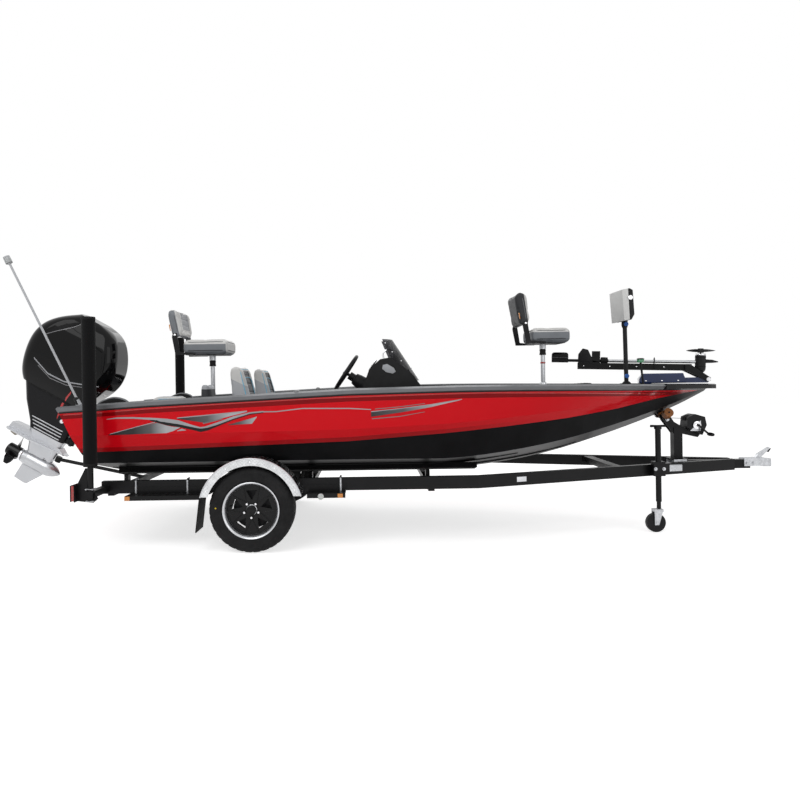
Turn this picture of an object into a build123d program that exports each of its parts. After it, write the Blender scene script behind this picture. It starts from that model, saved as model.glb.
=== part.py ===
from build123d import *
from math import atan2, cos, degrees, radians, sin, tan
import os

os.makedirs("parts", exist_ok=True)

# Bass boat on its two-wheeled road trailer. Millimetres, +X to the bow, +Y to port, +Z up.
# Stations are distances forward of the stern edge of the gunwale. Everything is drawn level,
# and the whole outfit is then turned nose-up about the axle, as it stands on its jack.

# Attitude and main stations
stern_x = -2598.4
nose_up = 0.85
axle_station = 1524.0
wheel_radius = 328.0
hull_length = 5635.0
fit_gap = 0.3
move_gap = 6.0


def at(station):
    """X of a station."""
    return stern_x + station


axle_x = at(axle_station)
pitch_axis = Axis((axle_x, 0, wheel_radius), (0, 1, 0))


def save(piece, name, pose=Location()):
    """Set a finished piece in its pose, stand it nose-up with the rest and write it."""
    solid = piece.part.moved(pose).rotate(pitch_axis, -nose_up)
    solid.label = name
    export_step(solid, f"parts/{name}.step")


def box(x, y, z, mode=Mode.ADD):
    """Block between two places on each axis."""
    with Locations(((x[0] + x[1]) / 2, (y[0] + y[1]) / 2, (z[0] + z[1]) / 2)):
        Box(x[1] - x[0], y[1] - y[0], z[1] - z[0], mode=mode)


def side_profile(points, y, mode=Mode.ADD, round_by=0):
    """Outline seen from the side, as (x, z) points, extruded between two y values."""
    with BuildSketch(Plane.XZ.offset(-y[1])) as outline:
        with BuildLine():
            Polyline(*points, close=True)
        make_face()
        if round_by:
            fillet(outline.vertices(), round_by)
    extrude(outline.sketch, amount=y[1] - y[0], mode=mode)


def plan_profile(points, z, mode=Mode.ADD, round_by=0):
    """Outline seen from above, as (x, y) points, extruded between two z values."""
    with BuildSketch(Plane.XY.offset(z[0])) as outline:
        with BuildLine():
            Polyline(*points, close=True)
        make_face()
        if round_by:
            fillet(outline.vertices(), round_by)
    extrude(outline.sketch, amount=z[1] - z[0], mode=mode)


def rod(start, end, radius, bore=0, mode=Mode.ADD):
    """Round bar or tube between two points."""
    run = Vector(*end) - Vector(*start)
    with BuildSketch(Plane(origin=start, z_dir=run)) as section:
        Circle(radius)
        if bore:
            Circle(bore, mode=Mode.SUBTRACT)
    extrude(section.sketch, amount=run.length, mode=mode)


def section_loft(sections, mode=Mode.ADD):
    """Straight-ruled loft through outlines of (y, z) points, each at its own x."""
    faces = []
    for x, points in sections:
        with BuildSketch(Plane.YZ.offset(x)) as outline:
            with BuildLine():
                Polyline(*points, close=True)
            make_face()
        faces.append(outline.sketch.face())
    loft(sections=faces, ruled=True, mode=mode)


def beam(start, end, width, height):
    """Rectangular tube between two points on its centreline, given as (x, y, z)."""
    sections = []
    for x, y, z in (start, end):
        corners = [(y + a * width / 2, z + b * height / 2) for a, b in ((-1, -1), (1, -1), (1, 1), (-1, 1))]
        sections.append((x, corners))
    section_loft(sections)


# Hull sections: station, keel height, deadrise, chine half-breadth, colour line (half-breadth, height),
# knuckle (half-breadth, height), gunwale (half-breadth, height)
keel_z = 475.0
deadrise = 12.83
key_rows = (
    (-120, keel_z, deadrise, 885, 940, 762, 983, 904, 1000, 1118),
    (730, keel_z, deadrise, 900, 970, 787, 1030, 913, 1060, 1168),
    (2270, keel_z, deadrise, 905, 1000, 834, 1060, 930, 1095, 1236),
    (3030, keel_z, deadrise, 875, 965, 883, 1030, 962, 1085, 1248),
    (3530, keel_z + 42, 14.0, 790, 890, 925, 955, 998, 1040, 1248),
    (4060, keel_z + 136, 16.0, 620, 740, 975, 800, 1042, 930, 1242),
    (4560, keel_z + 282, 18.0, 420, 540, 1040, 590, 1086, 745, 1234),
    (4970, keel_z + 425, 21.0, 240, 345, 1112, 385, 1140, 520, 1227),
    (5300, keel_z + 560, 25.0, 120, 190, 1155, 215, 1172, 300, 1222),
    (5560, keel_z + 690, 30.0, 30, 60, 1188, 75, 1196, 120, 1218),
)


# Rows stand in proportion when the hull is made longer or shorter
lines_scale = (hull_length - 75.0) / key_rows[-1][0]
key_rows = [(row[0] * lines_scale, *row[1:]) for row in key_rows]


def curved_row(rows, index, share):
    """Row of the hull table part-way to the next one, on a curve through its neighbours."""
    a, b, c, d = (rows[min(max(index + k, 0), len(rows) - 1)] for k in (-1, 0, 1, 2))
    span = c[0] - b[0]
    row = []
    for low, start, end, high in zip(a, b, c, d):
        rise_in = (end - low) * span / (c[0] - a[0])
        rise_out = (high - start) * span / (d[0] - b[0])
        t = share
        row.append(
            start * (2 * t**3 - 3 * t**2 + 1)
            + rise_in * (t**3 - 2 * t**2 + t)
            + end * (3 * t**2 - 2 * t**3)
            + rise_out * (t**3 - t**2)
        )
    row[0] = b[0] + share * span
    return tuple(row)


# The bow curves, so three rows stand in each of its bays; the parallel middle and stern need none
curve_start = 3
hull_table = list(key_rows[:curve_start])
for index in range(curve_start, len(key_rows) - 1):
    for part in range(3):
        hull_table.append(curved_row(key_rows, index, part / 3))
hull_table.append(key_rows[-1])
transom_rake = 24.0
rail_height = 36.0
rail_thick = 14.0
deck_inset = 120.0
fore_deck_z = 1200.0
aft_deck_z = 1098.0
deck_thick = 25.0

# Cockpit, splash well and lockers
cockpit_fore = 2880.0
cockpit_aft = 1130.0
cockpit_half = 800.0
sole_z = 740.0
well_half = 345.0
well_length = 440.0
well_floor_z = 900.0
transom_wall = 62.0
transom_notch_z = 1000.0
lid_gap = 6.0
lid_thick = 25.0
locker_depth = 260.0
fore_lid = (3180.0, 3900.0)
fore_lid_y = (150.0, 660.0)
aft_lid = (760.0, 1060.0)
aft_lid_y = (330.0, 800.0)


def hull_outline(row):
    """Closed section of the hull, keel round to both gunwales."""
    keel, rise, chine, side, side_z, knuckle, knuckle_z, sheer, sheer_z = row[1:]
    half = [(chine, keel + chine * tan(radians(rise))), (side, side_z), (knuckle, knuckle_z), (sheer, sheer_z)]
    return [(0, keel)] + half + [(-y, z) for y, z in reversed(half)]


def hull_value(station, column):
    """Value of one column of the hull table at a station."""
    for low, high in zip(hull_table, hull_table[1:]):
        if low[0] <= station <= high[0]:
            share = (station - low[0]) / (high[0] - low[0])
            return low[column] + share * (high[column] - low[column])
    raise ValueError("station outside the hull")


def half_beam(station, inset=0):
    """Half-breadth of the gunwale at a station, less an inset."""
    return hull_value(station, 8) - inset


def gunwale_z(station):
    """Height of the gunwale at a station."""
    return hull_value(station, 9)


def deck_plan(first, last, inset):
    """Plan outline of a deck between two stations, kept inside the gunwale by an inset."""
    stations = [first] + [row[0] for row in hull_table if first < row[0] < last] + [last]
    side = [(at(s), half_beam(s, inset)) for s in stations]
    return side + [(x, -y) for x, y in reversed(side)]


def transom_x(z):
    """X of the raked transom at a height."""
    return stern_x + (hull_table[0][9] - z) * tan(radians(transom_rake))


def lid_box(stations, y, z, grow, mode):
    """Block over a lid's outline, larger all round by a gap."""
    box((at(stations[0]) - grow, at(stations[1]) + grow), (y[0] - grow, y[1] + grow), z, mode)


fore_deck_plan = deck_plan(cockpit_fore, hull_length - 485, deck_inset)
aft_deck_plan = deck_plan(140, cockpit_aft, deck_inset)
lockers = (
    (fore_lid, (fore_lid_y[0], fore_lid_y[1]), fore_deck_z),
    (fore_lid, (-fore_lid_y[1], -fore_lid_y[0]), fore_deck_z),
    (aft_lid, (aft_lid_y[0], aft_lid_y[1]), aft_deck_z),
)
bow_eye = (hull_length - 517.0, 946.0)
far_below = 400.0
far_above = 1500.0

# Hull
with BuildPart() as hull:
    section_loft([(at(row[0]), hull_outline(row)) for row in hull_table])
    side_profile(
        [
            (at(-300), far_below),
            (transom_x(far_below), far_below),
            (transom_x(far_above), far_above),
            (at(-300), far_above),
        ],
        (-1300, 1300),
        Mode.SUBTRACT,
    )
    plan_profile(fore_deck_plan, (fore_deck_z - deck_thick, far_above), Mode.SUBTRACT)
    plan_profile(aft_deck_plan, (aft_deck_z - deck_thick, far_above), Mode.SUBTRACT)
    box((at(cockpit_aft), at(cockpit_fore)), (-cockpit_half, cockpit_half), (sole_z, far_above), Mode.SUBTRACT)
    side_profile(
        [
            (transom_x(well_floor_z) + transom_wall, well_floor_z),
            (stern_x + well_length, well_floor_z),
            (stern_x + well_length, far_above),
            (transom_x(far_above) + transom_wall, far_above),
        ],
        (-well_half, well_half),
        Mode.SUBTRACT,
    )
    box((at(-100), stern_x + well_length), (-well_half, well_half), (transom_notch_z, far_above), Mode.SUBTRACT)
    for stations, y, top in lockers:
        lid_box(stations, y, (top - locker_depth, far_above), -15, Mode.SUBTRACT)
    with Locations(Location((at(bow_eye[0]), 0, bow_eye[1]), (0, 90, 0))):
        Torus(22, 6)
save(hull, "hull")

# Deck panels, carpeted, with their locker openings, and the coaming ledge under each lid
with BuildPart() as deck:
    plan_profile(fore_deck_plan, (fore_deck_z - deck_thick, fore_deck_z))
    plan_profile(aft_deck_plan, (aft_deck_z - deck_thick, aft_deck_z))
    box(
        (at(-100), stern_x + well_length),
        (-well_half, well_half),
        (aft_deck_z - deck_thick, aft_deck_z),
        Mode.SUBTRACT,
    )
    for stations, y, top in lockers:
        lid_box(stations, y, (top - deck_thick, top), lid_gap, Mode.SUBTRACT)
save(deck, "deck")

# Locker lids, each on a hinge along its outer edge or its aft edge
for name, (stations, y, top) in zip(("lid_port", "lid_starboard", "lid_aft"), lockers):
    with BuildPart() as lid:
        lid_box(stations, y, (top - lid_thick + fit_gap, top), 0, Mode.ADD)
        fillet(lid.edges().filter_by(Axis.Z), 18)
        latch_x = at(stations[0]) + 0.5 * (stations[1] - stations[0])
        latch_y = y[0] + 45 if y[0] > 0 else y[1] - 45
        with Locations((latch_x, latch_y, top)):
            Cylinder(22, 12, mode=Mode.SUBTRACT)
    save(lid, name)

# Gunwale rail, a metal rub strake along each sheer
rail_last = key_rows[7][0]
with BuildPart() as gunwale_rail:
    rail_sections = []
    for row in hull_table:
        if row[0] <= rail_last:
            share = rail_height / (row[9] - row[7])
            low_y = row[8] - share * (row[8] - row[6])
            low_z = row[9] - rail_height
            corners = [
                (low_y, low_z),
                (low_y + rail_thick, low_z + 6),
                (row[8] + rail_thick, row[9] - 4),
                (row[8] - 30, row[9] + 10),
                (row[8] - 40, row[9]),
                (row[8], row[9]),
            ]
            rail_sections.append((at(row[0]), corners))
    section_loft(rail_sections)
    side_profile(
        [
            (at(-300), far_below),
            (transom_x(far_below), far_below),
            (transom_x(far_above), far_above),
            (at(-300), far_above),
        ],
        (-1300, 1300),
        Mode.SUBTRACT,
    )
    mirror(about=Plane.XZ)
    add(hull.part, mode=Mode.SUBTRACT)
save(gunwale_rail, "gunwale_rail")

# Bow cap, a moulded nose over the stem
cap_top = 14.0
cap_skirt = 30.0
cap_rows = [(row[0], row[8], row[9]) for row in hull_table if row[0] >= rail_last]
cap_rows.append((hull_length, 60, 1216))
cap_sections = []
for station, half, top in cap_rows:
    corners = [
        (-half - rail_thick, top - cap_skirt),
        (half + rail_thick, top - cap_skirt),
        (half + rail_thick, top + cap_top - 6),
        (half - 20, top + cap_top),
        (-half + 20, top + cap_top),
        (-half - rail_thick, top + cap_top - 6),
    ]
    cap_sections.append((at(station), corners))
with BuildPart() as bow_cap:
    section_loft(cap_sections)
    add(hull.part, mode=Mode.SUBTRACT)
    plan_profile(fore_deck_plan, (fore_deck_z - 60, far_above), Mode.SUBTRACT)
save(bow_cap, "bow_cap")

# Stern grab handles
handle_x = 320.0
with BuildPart() as stern_handles:
    for y in (-700, 700):
        side_profile(
            [
                (at(handle_x - 130), aft_deck_z),
                (at(handle_x - 95), aft_deck_z + 62),
                (at(handle_x + 60), aft_deck_z + 72),
                (at(handle_x + 130), aft_deck_z),
                (at(handle_x + 95), aft_deck_z),
                (at(handle_x + 45), aft_deck_z + 52),
                (at(handle_x - 78), aft_deck_z + 44),
                (at(handle_x - 100), aft_deck_z),
            ],
            (y - 14, y + 14),
        )
save(stern_handles, "stern_handles")

# Helm console: side outline as station, height
console_y = (5.0 - cockpit_half, 470.0 - cockpit_half)
console_profile = (
    (2395, sole_z),
    (2395, 1040),
    (2385, 1250),
    (2440, 1400),
    (2530, 1478),
    (2605, 1490),
    (2690, 1434),
    (2800, 1340),
    (2868, 1245),
    (2868, sole_z),
)
console_side = [(at(s), z) for s, z in console_profile]
wheel_centre = Vector(at(2243), (console_y[0] + console_y[1]) / 2, 1372)
wheel_tilt = 34.0
column_dir = Vector(cos(radians(wheel_tilt)), 0, -sin(radians(wheel_tilt)))
steering_wheel_radius = 165.0
column_radius = 15.0
with BuildPart() as console:
    side_profile(console_side, console_y)
    fillet(console.edges().filter_by(Axis.Y).group_by(Axis.Z)[-1], 20)
    hub_end = wheel_centre + column_dir * 34
    rod(tuple(hub_end), tuple(wheel_centre + column_dir * 210), 34)
save(console, "console")

# Steering wheel: rim, three spokes and hub on the column
with BuildPart() as steering_wheel:
    wheel_plane = Plane(origin=wheel_centre, x_dir=(0, 1, 0), z_dir=-column_dir)
    with Locations(wheel_plane.location):
        Torus(steering_wheel_radius, 14)
        Cylinder(34, 26)
    for angle in (90, 210, 330):
        reach = steering_wheel_radius
        across = wheel_plane.x_dir * cos(radians(angle)) + wheel_plane.y_dir * sin(radians(angle))
        rod(tuple(wheel_centre), tuple(wheel_centre + across * reach), 8)
    rod(tuple(wheel_centre), tuple(wheel_centre + column_dir * 33.7), 13)
save(steering_wheel, "steering_wheel")

# Smoked windshield, wrapped round the front of the console
screen_thick = 6.0
with BuildPart() as windshield:
    screen_faces = []
    for z, front, back, half in ((1300.0, 2862.0, 2690.0, 225.0), (1645.0, 2640.0, 2548.0, 165.0)):
        mid_y = (console_y[0] + console_y[1]) / 2
        with BuildSketch(Plane.XY.offset(z)) as crescent:
            with BuildLine():
                ThreePointArc((at(back), mid_y - half), (at(front), mid_y), (at(back), mid_y + half))
                Line((at(back), mid_y + half), (at(back), mid_y + half - screen_thick))
                ThreePointArc(
                    (at(back), mid_y + half - screen_thick),
                    (at(front) - screen_thick, mid_y),
                    (at(back), mid_y - half + screen_thick),
                )
                Line((at(back), mid_y - half + screen_thick), (at(back), mid_y - half))
            make_face()
        screen_faces.append(crescent.sketch.face())
    loft(sections=screen_faces, ruled=True)
    side_profile(console_side + [(at(2900), sole_z), (at(2900), 600), (at(2300), 600)], (console_y[0] - 100, console_y[1] + 130), Mode.SUBTRACT)
save(windshield, "windshield")

# Throttle box and lever beside the driver
throttle_x = 2180.0
with BuildPart() as throttle:
    box((at(throttle_x), at(throttle_x + 190)), (-cockpit_half, -cockpit_half + 70), (1010, 1120))
    rod((at(throttle_x + 110), -cockpit_half + 78, 1090), (at(throttle_x + 60), -cockpit_half + 78, 1215), 9)
    with Locations((at(throttle_x + 56), -cockpit_half + 78, 1225)):
        Sphere(20)
    rod(
        (at(throttle_x + 110), -cockpit_half + 60, 1090),
        (at(throttle_x + 110), -cockpit_half + 88, 1090),
        26,
    )
save(throttle, "throttle")

# Cockpit seats: moulded bases, cushions and raked backrests
seat_rows = ((20.0 - cockpit_half, 470.0 - cockpit_half), (cockpit_half - 490.0, cockpit_half - 20.0))
seat_back = cockpit_aft + 200.0
seat_front = seat_back + 520.0
seat_base_z = 900.0
cushion_thick = 110.0
with BuildPart() as seat_bases:
    for y in seat_rows:
        box((at(cockpit_aft), at(seat_front - 30)), (y[0] + 20, y[1] - 20), (sole_z, seat_base_z))
save(seat_bases, "seat_bases")

aft_pad = (570.0, 880.0)
aft_pad_y = (-640.0, -380.0)
with BuildPart() as cockpit_cushions:
    for y in seat_rows:
        box((at(seat_back + 140), at(seat_front)), y, (seat_base_z + fit_gap, seat_base_z + cushion_thick))
    box((at(aft_pad[0]), at(aft_pad[1])), aft_pad_y, (aft_deck_z + fit_gap, aft_deck_z + 64))
    fillet(cockpit_cushions.edges().filter_by(Axis.Z), 40)
    fillet(cockpit_cushions.faces().sort_by(Axis.Z)[-1].edges(), 18)
save(cockpit_cushions, "cockpit_cushions")

back_profile = (
    (seat_back + 136, seat_base_z + fit_gap),
    (seat_back + 130, 1060),
    (seat_back + 60, 1440),
    (seat_back + 20, 1462),
    (seat_back - 30, 1440),
    (seat_back - 20, 1200),
    (seat_back + 10, seat_base_z + fit_gap),
)
with BuildPart() as cockpit_backrests:
    for y in seat_rows:
        side_profile([(at(s), z) for s, z in back_profile], y)
    side_profile(
        [
            (at(cockpit_aft - 160), aft_deck_z + fit_gap),
            (at(cockpit_aft - 70), aft_deck_z + fit_gap),
            (at(cockpit_aft - 100), aft_deck_z + 205),
            (at(cockpit_aft - 160), aft_deck_z + 205),
        ],
        (-420, -150),
    )
save(cockpit_backrests, "cockpit_backrests")

# Pedestal seats: station and deck height, pole height, seat size, lean of the back
pedestal_radius = 20.0
seat_rows_table = (
    ("rear", 980.0, aft_deck_z, 1561.0, (-215.0, 215.0), 450.0, 200.0, 254.0),
    ("front", 4060.0, fore_deck_z, 1621.0, (-205.0, 205.0), 400.0, 226.0, 306.0),
)
hinge_height = 180.0
seat_pad_thick = 122.0
with BuildPart() as pedestals:
    for name, station, deck_z, top_z, width, depth, front_reach, back_height in seat_rows_table:
        rod((at(station), 0, deck_z), (at(station), 0, deck_z + 14), 95)
        rod((at(station), 0, deck_z), (at(station), 0, top_z), pedestal_radius)
        rod((at(station), 0, top_z - 45), (at(station), 0, top_z), pedestal_radius + 10)
save(pedestals, "pedestals")

for name, station, deck_z, top_z, width, depth, front_reach, back_height in seat_rows_table:
    plate_z = top_z + fit_gap
    front_x = at(station) + front_reach
    rear_x = front_x - depth
    hinge_x = rear_x - 32
    hinge_z = top_z + hinge_height
    cushion_z = plate_z + 12
    cushion_top = cushion_z + seat_pad_thick
    with BuildPart() as seat_frame:
        box((rear_x + 40, front_x - 60), (width[0] + 60, width[1] - 60), (plate_z, plate_z + 12))
        for side in (-1, 1):
            arm_y = side * (width[1] - 6)
            side_profile(
                [
                    (rear_x - 50, hinge_z + 18),
                    (rear_x - 60, hinge_z - 18),
                    (rear_x - 30, plate_z),
                    (rear_x + 150, plate_z),
                    (rear_x + 150, plate_z + 12),
                    (rear_x + 10, plate_z + 26),
                    (rear_x - 16, hinge_z + 18),
                ],
                (arm_y - 4 + side * 14, arm_y + 4 + side * 14),
            )
        box((rear_x + 60, rear_x + 120), (width[0] - 12, width[1] + 12), (plate_z, plate_z + 12))
        for side in (-1, 1):
            rod((hinge_x, side * (width[1] + 10), hinge_z), (hinge_x, side * (width[1] - 22), hinge_z), 8)
    save(seat_frame, f"{name}_seat_frame")
    with BuildPart() as seat_cushion:
        box((rear_x + 8, front_x), width, (cushion_z + fit_gap, cushion_top))
        fillet(seat_cushion.edges().filter_by(Axis.Z), 50)
        fillet(seat_cushion.faces().sort_by(Axis.Z)[-1].edges(), 25)
    save(seat_cushion, f"{name}_seat_cushion")
    back_low = hinge_z - 26
    with BuildPart() as seat_back_piece:
        side_profile(
            [
                (hinge_x - 30, back_low),
                (hinge_x + 30, back_low),
                (hinge_x + 42, back_low + 60),
                (hinge_x + 10, back_low + back_height),
                (hinge_x - 40, back_low + back_height + 24),
                (hinge_x - 78, back_low + back_height),
            ],
            (width[0] + 8, width[1] - 8),
        )
        fillet(seat_back_piece.edges().filter_by(Axis.Y).group_by(Axis.Z)[-1], 18)
        for side in (-1, 1):
            rod(
                (hinge_x, side * (width[1] + 1), hinge_z),
                (hinge_x, side * (width[1] - 40), hinge_z),
                8.3,
                mode=Mode.SUBTRACT,
            )
    save(seat_back_piece, f"{name}_seat_back")

# Stern light on its pole, leaning aft from the starboard gunwale
light_foot = Vector(at(150), -935, gunwale_z(150) + 2)
light_tip = Vector(at(-415), -935, 2325)
with BuildPart() as stern_light:
    rod(tuple(light_foot), tuple(light_foot + Vector(0, 0, 12)), 32)
    pole_run = light_tip - light_foot
    rod(tuple(light_foot + Vector(0, 0, 9)), tuple(light_foot + pole_run * 0.04), 18)
    rod(tuple(light_foot + Vector(0, 0, 9)), tuple(light_foot + pole_run * 0.965), 9)
    rod(tuple(light_foot + pole_run * 0.96), tuple(light_tip), 26)
save(stern_light, "stern_light")

# Bow light on its stem
bow_light_at = Vector(at(hull_length - 775), -330, fore_deck_z)
with BuildPart() as bow_light:
    rod(tuple(bow_light_at), tuple(bow_light_at + Vector(0, 0, 8)), 30)
    rod(tuple(bow_light_at + Vector(0, 0, 6)), tuple(bow_light_at + Vector(-25, 0, 235)), 9)
    rod(tuple(bow_light_at + Vector(-25, 0, 230)), tuple(bow_light_at + Vector(-25, 0, 262)), 30)
save(bow_light, "bow_light")

# Sonar screen on its post
sonar_at = Vector(at(hull_length - 895), -250, fore_deck_z)
with BuildPart() as sonar:
    rod(tuple(sonar_at), tuple(sonar_at + Vector(0, 0, 50)), 38)
    rod(tuple(sonar_at + Vector(0, 0, 20)), tuple(sonar_at + Vector(-10, 0, 640)), 18)
    side_profile(
        [
            (sonar_at.X - 84, sonar_at.Z + 866),
            (sonar_at.X - 20, sonar_at.Z + 876),
            (sonar_at.X + 6, sonar_at.Z + 862),
            (sonar_at.X + 18, sonar_at.Z + 650),
            (sonar_at.X - 6, sonar_at.Z + 606),
            (sonar_at.X - 66, sonar_at.Z + 598),
        ],
        (sonar_at.Y - 148, sonar_at.Y + 148),
    )
save(sonar, "fishfinder")

# Foot pedal and the sheathed cable that arches over to the bow mount
pedal_x = 4120.0
pedal_y = -300.0
with BuildPart() as foot_pedal:
    box((at(pedal_x), at(pedal_x + 290)), (pedal_y - 95, pedal_y + 95), (fore_deck_z, fore_deck_z + 18))
    side_profile(
        [
            (at(pedal_x + 15), fore_deck_z + 18),
            (at(pedal_x + 275), fore_deck_z + 18),
            (at(pedal_x + 270), fore_deck_z + 46),
            (at(pedal_x + 30), fore_deck_z + 34),
        ],
        (pedal_y - 70, pedal_y + 70),
    )
save(foot_pedal, "foot_pedal")

# Bow mount: base on the cap, pivoting bed and the stowed electric motor, lying aft to port
mount_pivot = Vector(at(hull_length - 45), 0, 1272)
mount_yaw = -16.0
mount_slope = 2.0
mount_pose = Location(tuple(mount_pivot), (0, 0, mount_yaw)) * Location((0, 0, 0), (0, mount_slope, 0))
base_pose = Location((mount_pivot.X, 0, 0), (0, 0, mount_yaw))
base_low = 1241.0
base_top = 1333.0
with BuildPart() as trolling_base:
    side_profile(
        [(-580, base_low), (-600, base_low + 40), (-560, base_top), (-215, base_top), (-195, base_low)],
        (-80, 80),
    )
    fillet(trolling_base.edges().filter_by(Axis.X), 12)
    side_profile([(-200, base_low), (-200, 1290), (-20, 1292), (18, 1284), (18, 1260), (-5, base_low)], (-52, 52))
    rod((0, -76, mount_pivot.Z), (0, 76, mount_pivot.Z), 8)
    box((-570, -490), (-60, 60), (fore_deck_z + fit_gap, base_low + 1))
save(trolling_base, "trolling_base", base_pose)

bed_low = 76.0
bed_aft = -1155.0
bed_fore = -140.0
bed_top = bed_low + 62.0
with BuildPart() as trolling_bed:
    box((bed_aft, bed_fore), (-40, 40), (bed_low, bed_low + 10))
    for side in (-1, 1):
        box((bed_aft, bed_fore), (side * 37 - 3, side * 37 + 3), (bed_low, bed_top))
        side_profile(
            [
                (bed_fore - 60, bed_low),
                (bed_fore - 60, bed_top),
                (bed_fore - 20, bed_top),
                (18, 14),
                (18, -14),
                (-18, -14),
            ],
            (side * 69 - 5, side * 69 + 5),
        )
        rod((0, side * 60, 0), (0, side * 78, 0), 8.3, mode=Mode.SUBTRACT)
    box((bed_fore - 60, bed_fore - 30), (-74, 74), (bed_low, bed_low + 10))
save(trolling_bed, "trolling_bed", mount_pose)

shaft_q = 160.0
shaft_radius = 14.0
pod_p = -60.0
pod_radius = 46.0
with BuildPart() as trolling_motor:
    rod((-1260, 0, shaft_q), (pod_p, 0, shaft_q), shaft_radius)
    box((-1401, -1244), (-55, 55), (shaft_q - 20, shaft_q + 76))
    fillet(trolling_motor.edges().filter_by(Axis.Y).group_by(Axis.Z)[-1], 24)
    side_profile(
        [
            (-1152, bed_top + fit_gap),
            (-1150, shaft_q + 60),
            (-1110, shaft_q + 118),
            (-1060, shaft_q + 104),
            (-1022, shaft_q + 20),
            (-1022, bed_top + fit_gap),
        ],
        (-45, 45),
    )
    box((-1023, -949), (-40, 40), (bed_top + fit_gap, shaft_q + 92))
    rod((pod_p, 0, 100), (pod_p, 0, 235), pod_radius)
    with Locations((pod_p, 0, 100)):
        Sphere(pod_radius - 0.5)
    side_profile([(pod_p + 20, 150), (pod_p + 20, 185), (pod_p + 150, 166), (pod_p + 150, 160)], (-4, 4))
    rod((pod_p, 0, 235), (pod_p, 0, 285), 7)
save(trolling_motor, "trolling_motor", mount_pose)

with BuildPart() as trolling_prop:
    with Locations((pod_p, 0, 266)):
        Cylinder(26, 40)
        Cylinder(7.3, 60, mode=Mode.SUBTRACT)
    for turn in (0, 180):
        blade_plane = Plane(
            origin=(pod_p, 0, 266),
            x_dir=(cos(radians(turn + 70)), sin(radians(turn + 70)), 0),
            z_dir=(-sin(radians(turn + 70)) * sin(radians(30)), cos(radians(turn + 70)) * sin(radians(30)), cos(radians(30))),
        )
        with BuildSketch(blade_plane) as blade:
            with Locations((72, 0)):
                Ellipse(52, 26)
        extrude(blade.sketch, amount=2.5, both=True)
save(trolling_prop, "trolling_prop", mount_pose)

# Outboard motor, drawn upright about its tilt pin and then tilted as it is towed
tilt_pin = Vector(at(-72), 0, 1044)
towed_tilt = 29.0
outboard_pose = Location(tuple(tilt_pin), (0, towed_tilt, 0))
steer_a = -110.0
swivel_radius = 34.0
shaft_b = -692.0
plate_b = -508.0

# Clamp bracket, hooked over the transom
clamp_low = 720.0
clamp_fore = transom_x(transom_notch_z) + transom_wall + 20.0
hook_low = transom_notch_z - 40
with BuildPart() as clamp_bracket:
    for side in (-1, 1):
        side_profile(
            [
                (tilt_pin.X - 30, tilt_pin.Z - 24),
                (tilt_pin.X - 24, tilt_pin.Z + 26),
                (tilt_pin.X + 20, tilt_pin.Z + 30),
                (clamp_fore, tilt_pin.Z - 14),
                (transom_x(hook_low) + transom_wall + 20, hook_low),
                (transom_x(hook_low) + transom_wall + fit_gap, hook_low),
                (transom_x(transom_notch_z) + transom_wall + fit_gap, transom_notch_z),
                (transom_x(transom_notch_z), transom_notch_z),
                (transom_x(clamp_low), clamp_low),
                (transom_x(clamp_low) - 38, clamp_low),
            ],
            (side * 106 - 12, side * 106 + 12),
        )
    rod((tilt_pin.X, -124, tilt_pin.Z), (tilt_pin.X, 124, tilt_pin.Z), 12)
save(clamp_bracket, "clamp_bracket")

# Swivel bracket: tilt tube, steering tube and the web between them
with BuildPart() as swivel_bracket:
    rod((0, -90, 0), (0, 90, 0), 26)
    rod((steer_a, 0, -350), (steer_a, 0, -62), swivel_radius)
    side_profile(
        [(steer_a, -340), (steer_a, -66), (-70, -66), (-20, 20), (20, 0), (-20, -110), (-62, -330)],
        (-30, 30),
    )
    rod((0, -91, 0), (0, 91, 0), 12.3, mode=Mode.SUBTRACT)
    rod((steer_a, 0, -400), (steer_a, 0, -20), 14.3, mode=Mode.SUBTRACT)
save(swivel_bracket, "swivel_bracket", outboard_pose)


def rounded_section(b, aft, fore, half, corner):
    """Rounded outline across the motor at a height b, from aft to fore."""
    with BuildSketch(Plane.XY.offset(b)) as outline:
        with Locations(((aft + fore) / 2, 0)):
            RectangleRounded(fore - aft, 2 * half, corner)
    return outline.sketch.face()


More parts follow.
